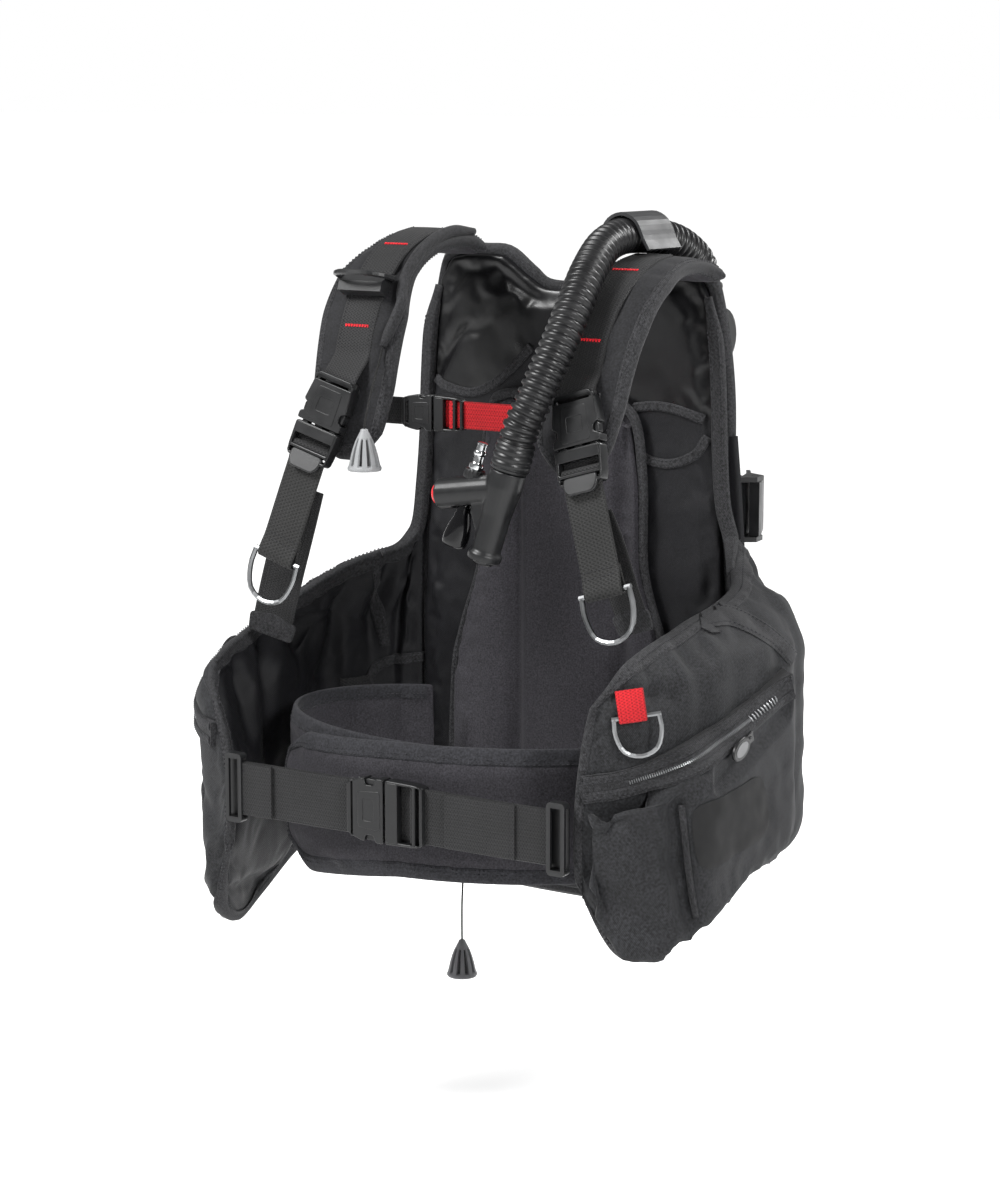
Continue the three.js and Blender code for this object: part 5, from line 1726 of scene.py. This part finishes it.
def armhole_tape(side):
    """The thick bound edge from the shoulder down the back panel and out onto the lobe, and the
    gusset between them."""
    sign = 1 if side == "left" else -1
    pillow = lobes[side]
    hem = [pillow.skin(0 if side == "left" else 1, i, pillow.nb, 0.0) for i in (6, 10, 14, 18)]
    fall = ((148, 44, -22), (157, 43, -60), (161, 43, -110), (163, 43, -165), (167, 43, -212))
    path = [mm(sign * x, y, z) for x, y, z in fall] + hem
    line = curve_through(path, 0.004)
    normals = carried_normals(line, (0, -1, 0))
    taper = [lerp(0.55, 1, smoothstep(min(i, len(line) - 1 - i), 0, 12)) for i in range(len(line))]
    shape, thread = Shape(), Shape()
    section = strap_section(17 * MM, 7 * MM, 1.5 * MM)
    shape.sweep(line, lambda i: [(a * taper[i], b * taper[i]) for a, b in section], normals)
    shape.build(f"armhole_binding_{side}", BINDING, "vest", None)
    for edge in (-5.5, 5.0):
        lane = [p + t.cross(n) * (edge * MM) + n * 4.6 * MM
                for p, n, t in zip(line, normals, directions(line))]
        stitches(thread, lane[8:-8], normals[8:-8])
    thread.build(f"armhole_stitches_{side}", THREAD, "vest")
    gusset = Shape()
    side_line = ((160, -150), (166, -215), (171, -300), (172, -430), (171, -548))
    down = curve_through([mm(sign * x, 55, z) for x, z in side_line], 0.006)
    strap(gusset, down, carried_normals(down, (0, -1, 0)), 30, 5, 0.8)
    gusset.build(f"side_gusset_{side}", LINING, "vest", 60)


for each in SIDES:
    armhole_tape(each)


def lobe_inner_trim():
    """Inside the right lobe: the hems of a pocket and of a fold, and a piece of webbing."""
    drape = Drape([lobes["right"].piece], (0.92, -0.39, 0))
    tape, thread, web = Shape(), Shape(), Shape()
    hem = [(-72, -455), (-71, -425), (-67, -406), (-54, -396), (-34, -392), (-20, -391)]
    fold_line = [(-71, -290), (-66, -320), (-58, -350), (-54, -380)]
    drape.strip(tape, hem, 10, 2.4)
    drape.strip(tape, fold_line, 9, 1.8)
    drape.strip(web, [(-84, -408), (-84, -430), (-85, -456)], 36, 2.6)
    for offset in (-3, 3):
        drape.seam(thread, hem, 2.6, offset)
        drape.seam(thread, fold_line, 2.0, offset)
    drape.seam(thread, [(-100, -414), (-69, -414)], 2.9)
    tape.build("inner_hems", BINDING, "vest")
    web.build("inner_web", WEBBING, "vest")
    thread.build("inner_stitches", THREAD, "vest")


lobe_inner_trim()


def cord_sleeve():
    """The rolled sleeve on the right pad's inner edge that the pull cord comes out of."""
    sleeve = Shape()
    line, _ = offset_line(pad_points("right")[1:7], PAD_THICK / 2 + 1, 0)
    inner = [Vector((np.interp(p.z / MM, *PAD_INNER) * MM + 2 * MM, p.y, p.z)) for p in line]
    exit_at = mm(*SHOULDER_CORD[0])
    exit_at.x = abs(exit_at.x)
    route = [p for p in inner if p.z > exit_at.z + 0.008]
    path = curve_through(route[::5] + [exit_at], 0.003)
    count = len(path)

    def ring(i):
        swell = smoothstep(min(i, (count - i) * 2.0), 0, 12)
        return circle(lerp(3.4, 5.6, swell) * MM, 18, 0.9)

    sleeve.sweep(path, ring, carried_normals(path, (1, 0, 0)))
    built(sleeve, "right", "cord_sleeve", BINDING, "vest", (), None)


cord_sleeve()


def back_trim():
    """Hems of the yoke and of the small pocket behind the left shoulder."""
    drape = Drape([bpy.data.objects["back_cell"]], (0, -1, 0))
    tape, thread = Shape(), Shape()
    hems = [
        [(-152, -112), (-135, -119), (-107, -123), (-80, -112), (-58, -94), (-40, -76)],
        [(74, -127), (95, -124), (118, -126), (146, -134)],
        [(76, -168), (95, -176), (118, -176), (140, -166), (150, -150)],
    ]
    for hem in hems:
        drape.strip(tape, hem, 9, 2.2)
        drape.seam(thread, hem, 2.3, 2.8)
        drape.seam(thread, hem, 2.3, -2.8)
    tape.build("yoke_hems", BINDING, "vest")
    thread.build("yoke_stitches", THREAD, "vest")


back_trim()


# ---------------------------------------------------------------- release buckles


def rounded_box(half_x, half_z, radius, x=0.0, z=0.0):
    return fillet([(x - half_x, z - half_z), (x + half_x, z - half_z), (x + half_x, z + half_z),
                   (x - half_x, z + half_z)], radius)


def both_sides(loop):
    """A half outline on the other side of local Z, in the same order."""
    return [(-a, b) for a, b in loop]


def hull_plate(shape, loops, low, high, bevel, place, slot=0):
    """A plate between two depths of local Y, in mm."""
    plate(shape, loops, high - low, bevel, place, -(low + high) / 2, slot)


def release_buckle(name, place, web, thick, socket_length, bar_length, prong, bodies, nodes,
                   side=""):
    """Drawn with the strap along local Z: the socket half above z = 0, the pronged half below."""
    half, skin = web / 2 + 4, 2.2
    front, back = -thick / 2, thick / 2
    waist = half - web * 0.07
    notch_low, notch_high = prong * 0.38, prong * 0.92
    depth = web * 0.13
    flank = [(half, notch_high), (half - depth, notch_high - 2.4), (half - depth, notch_low + 2.4),
             (half, notch_low), (half, 1.2)]
    shoulder = [(waist - 3, socket_length), (waist, socket_length - 7)]
    face = [*both_sides(flank)[::-1], *both_sides(shoulder)[::-1], *shoulder, *flank]
    slot_z = socket_length - 5.6
    socket = Shape()
    covers = [fillet(face, 2.2), rounded_box(web / 2 + 0.6, 1.9, 1.2, 0, slot_z)]
    hull_plate(socket, covers, front, front + skin, 0.8, place)
    hull_plate(socket, covers, back - skin, back, 0.8, place)
    for sign in (-1, 1):
        edge = [(sign * a, b) for a, b in (
            (half - 3.4, notch_high - 0.5), (half, notch_high - 0.5), (waist, socket_length - 7),
            (waist - 3, socket_length), (waist - 6, socket_length))]
        hull_plate(socket, [fillet(edge[::sign], 1.5)], front + 1, back - 1, 0.6, place)
        foot = rounded_box(1.5, notch_low / 2 - 0.8, 0.8, sign * (half - 1.6), notch_low / 2 + 0.6)
        hull_plate(socket, [foot], front + 1, back - 1, 0.5, place)
    for z in (slot_z - 4.4, socket_length - 1.7):
        bar = rounded_box(waist - 3, 1.6, 1.0, 0, z)
        hull_plate(socket, [bar], front + 1, back - 1, 0.6, place)
    panel = [(-half * 0.62, 4), (half * 0.62, 4), (half * 0.55, slot_z - 6.5),
             (-half * 0.55, slot_z - 6.5)]
    recess = rounded_box(half * 0.34, socket_length * 0.14, 2, 0, socket_length * 0.42)
    hull_plate(socket, [fillet(panel, 3), recess], front - 0.5, front + 0.6, 0.5, place)

    male = Shape()
    arm_y = thick / 2 - skin - 0.5
    inner, outer = half - 5 - web * 0.16, half - 1.6
    for sign in (-1, 1):
        arm = [(sign * a, b) for a, b in (
            (inner, -2), (outer - 3.4, -2), (outer - 3.4, notch_low), (outer, notch_low + 1.6),
            (outer + 0.4, notch_high - 3), (outer - 1.8, prong - 0.6), (inner + 1.5, prong),
            (inner, prong - 4))]
        hull_plate(male, [fillet(arm[::sign], 1.2)], -arm_y, arm_y, 0.6, place)
    guide = rounded_box(web * 0.1, prong / 2 - 1.5, 1, 0, prong / 2 - 2)
    hull_plate(male, [guide], -arm_y, arm_y, 0.5, place)
    low = -bar_length
    right_rim = [(half - 3, low), (half - 1, low + 8), (half, -0.6)]
    right_window = [(web / 2 + 0.8, low + 10.5), (web / 2 + 0.8, -bar_length * 0.34)]
    loops = [fillet([*both_sides(right_rim)[::-1], *right_rim], 3),
             fillet([*both_sides(right_window)[::-1], *right_window], 2),
             rounded_box(web / 2 + 0.8, 2.3, 1.4, 0, low + 5.2)]
    hull_plate(male, loops, front + 0.4, back - 0.4, 1.1, place)
    ridge = rounded_box(web / 2 + 2, bar_length * 0.15, 2, 0, -bar_length * 0.18 - 0.8)
    hull_plate(male, [ridge], front, front + 1.2, 0.5, place)

    roll, loop = Shape(), Shape()
    for z, reach, webbing in ((low + 11.5, 4.2, roll), (socket_length - 2.6, 3.4, loop)):
        line = [place @ mm(lerp(-web / 2, web / 2, k / 10), -0.6, z) for k in range(11)]
        turn = [place.to_3x3() @ FORWARD] * 11
        points, faces, uvs = sweep(line, circle(reach * MM, 14, 0.85), turn)
        webbing.add(points, faces, [(v, u) for u, v in uvs])
    fold = rounded_box(web / 2, (-2 - low - 6) / 2, 1, 0, (low + 6 - 2) / 2)
    hull_plate(roll, [fold], 1.0, 3.2, 0.5, place)
    roll_look = RED_WEBBING if name == "chest_buckle" else WEBBING
    for shape, part, look, body, sharp, stands_for in (
            (roll, "roll", roll_look, bodies[1], 50, ()),
            (loop, "loop", WEBBING, bodies[0], 50, ()),
            (socket, "socket", SATIN_PLASTIC, bodies[0], 32, nodes[:1]),
            (male, "latch", SATIN_PLASTIC, bodies[1], 32, nodes[1:])):
        if side == "right":
            mirrored(shape)
        shape.build(f"{name}_{part}", look, body, sharp, stands_for)


def strap_plane(x, y, z):
    """A buckle on a strap along X, with its socket half on the wearer's right."""
    basis = Matrix(((0, 0, -1), (0, 1, 0), (1, 0, 0))).to_4x4()
    return Matrix.Translation(mm(x, y, z)) @ basis


for each in SIDES:
    release_buckle(f"shoulder_buckle_{each}", BUCKLE, WEB, 13, 48, MALE_LENGTH, 21,
                   ("vest", f"shoulder_release_{each}"),
                   (f"shoulder_buckle_female_{each}", f"shoulder_buckle_male_{each}"), each)
    # The rounded tongue below the pronged half, tipped forwards.
    tongue = Shape()
    outline = [(-18, -26), (18, -26), (17.5, -36), (13, -43), (-13, -43), (-17.5, -36)]
    hinge = Matrix.Translation(mm(0, -1.5, -26)) @ Matrix.Rotation(-0.16, 4, "X")
    tilt = BUCKLE @ hinge @ Matrix.Translation(mm(0, 0, 26))
    plate(tongue, [fillet(outline, 5)], 4.2, 1.4, tilt, 2.0)
    if each == "right":
        mirrored(tongue)
    tongue.build(f"release_tongue_{each}", SATIN_PLASTIC, f"shoulder_release_{each}", 32)
release_buckle("chest_buckle", strap_plane(-41, CHEST_Y, CHEST_Z), 25, 10, 34, 32, 18,
               ("vest", "chest_release"), ("chest_buckle_female", "chest_buckle_male"))
release_buckle("waist_buckle", strap_plane(4, WAIST_Y, WAIST_Z), 50, 14, 40, 40, 24,
               ("vest", "waist_release"), ("waist_buckle_female", "waist_buckle_male"))

for each in SIDES:
    zip_pull(each)


# ---------------------------------------------------------------- CAD nodes that stay

KEPT = {
    "tail_ring_left": STEEL, "tail_ring_right": STEEL,
    "shoulder_slide_right": SATIN_PLASTIC, "shoulder_ring_right": SATIN_PLASTIC,
    "waist_ring_left": SATIN_PLASTIC, "waist_ring_right": SATIN_PLASTIC, "hose_elbow": PLASTIC,
    "hose_flap": FLAP_RUBBER, "shoulder_dump_valve": PLASTIC, "rear_dump_valve": PLASTIC,
    "backpack_plate": PLASTIC, "cam_buckle_body": SATIN_PLASTIC, "cam_lever": SATIN_PLASTIC,
    "pocket_ring_left": STEEL, "pocket_ring_right": STEEL,
}
EDGE_RADIUS, SHARP_ANGLE = 0.0006, math.radians(35)
for node, look in KEPT.items():
    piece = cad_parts[node]
    for place in piece.material_slots:
        place.link = "OBJECT"
        place.material = look
    rounder = piece.modifiers.new("edges", "BEVEL")
    rounder.width = EDGE_RADIUS
    rounder.segments = 2
    rounder.limit_method = "ANGLE"
    rounder.angle_limit = SHARP_ANGLE


# ---------------------------------------------------------------- floor

floor_mesh = bpy.data.meshes.new("floor")
FLOOR_REACH, FLOOR_LEVEL = 60.0, -0.80
corners = [(x * FLOOR_REACH, y * FLOOR_REACH, FLOOR_LEVEL)
           for x, y in ((-1, -1), (1, -1), (1, 1), (-1, 1))]
floor_mesh.from_pydata(corners, [], [(0, 1, 2, 3)])
floor = linked("floor", floor_mesh)
floor_look = Look("pale_floor", 0.9).paint((0.99, 0.99, 0.99))
floor_look.shader.inputs["Specular IOR Level"].default_value = FLOOR_SPECULAR
floor_mesh.materials.append(floor_look.done())


# ---------------------------------------------------------------- slots and the end

SLOTS = {
    "fabric": (CORDURA, LINING, VINYL),
    "padding": (FOAM_CLOTH, MESH_CLOTH, VELCRO),
    "webbing": (BINDING, WEBBING, TAIL_WEBBING, THREAD, CORD),
    "red_webbing": (RED_WEBBING, RED_THREAD),
    "plastic": (PLASTIC, SATIN_PLASTIC),
    "rubber": (RUBBER, FLAP_RUBBER, PATCH_RUBBER),
    "gloss": (GLOSS,),
    "red_plastic": (RED_PLASTIC,),
    "chrome": (CHROME,),
    "steel": (STEEL, ZIP_TEETH),
    "grey_rubber": (KNOB_GREY, KNOB_DARK),
}
slot_of = {look.name: slot for slot, looks in SLOTS.items() for look in looks}
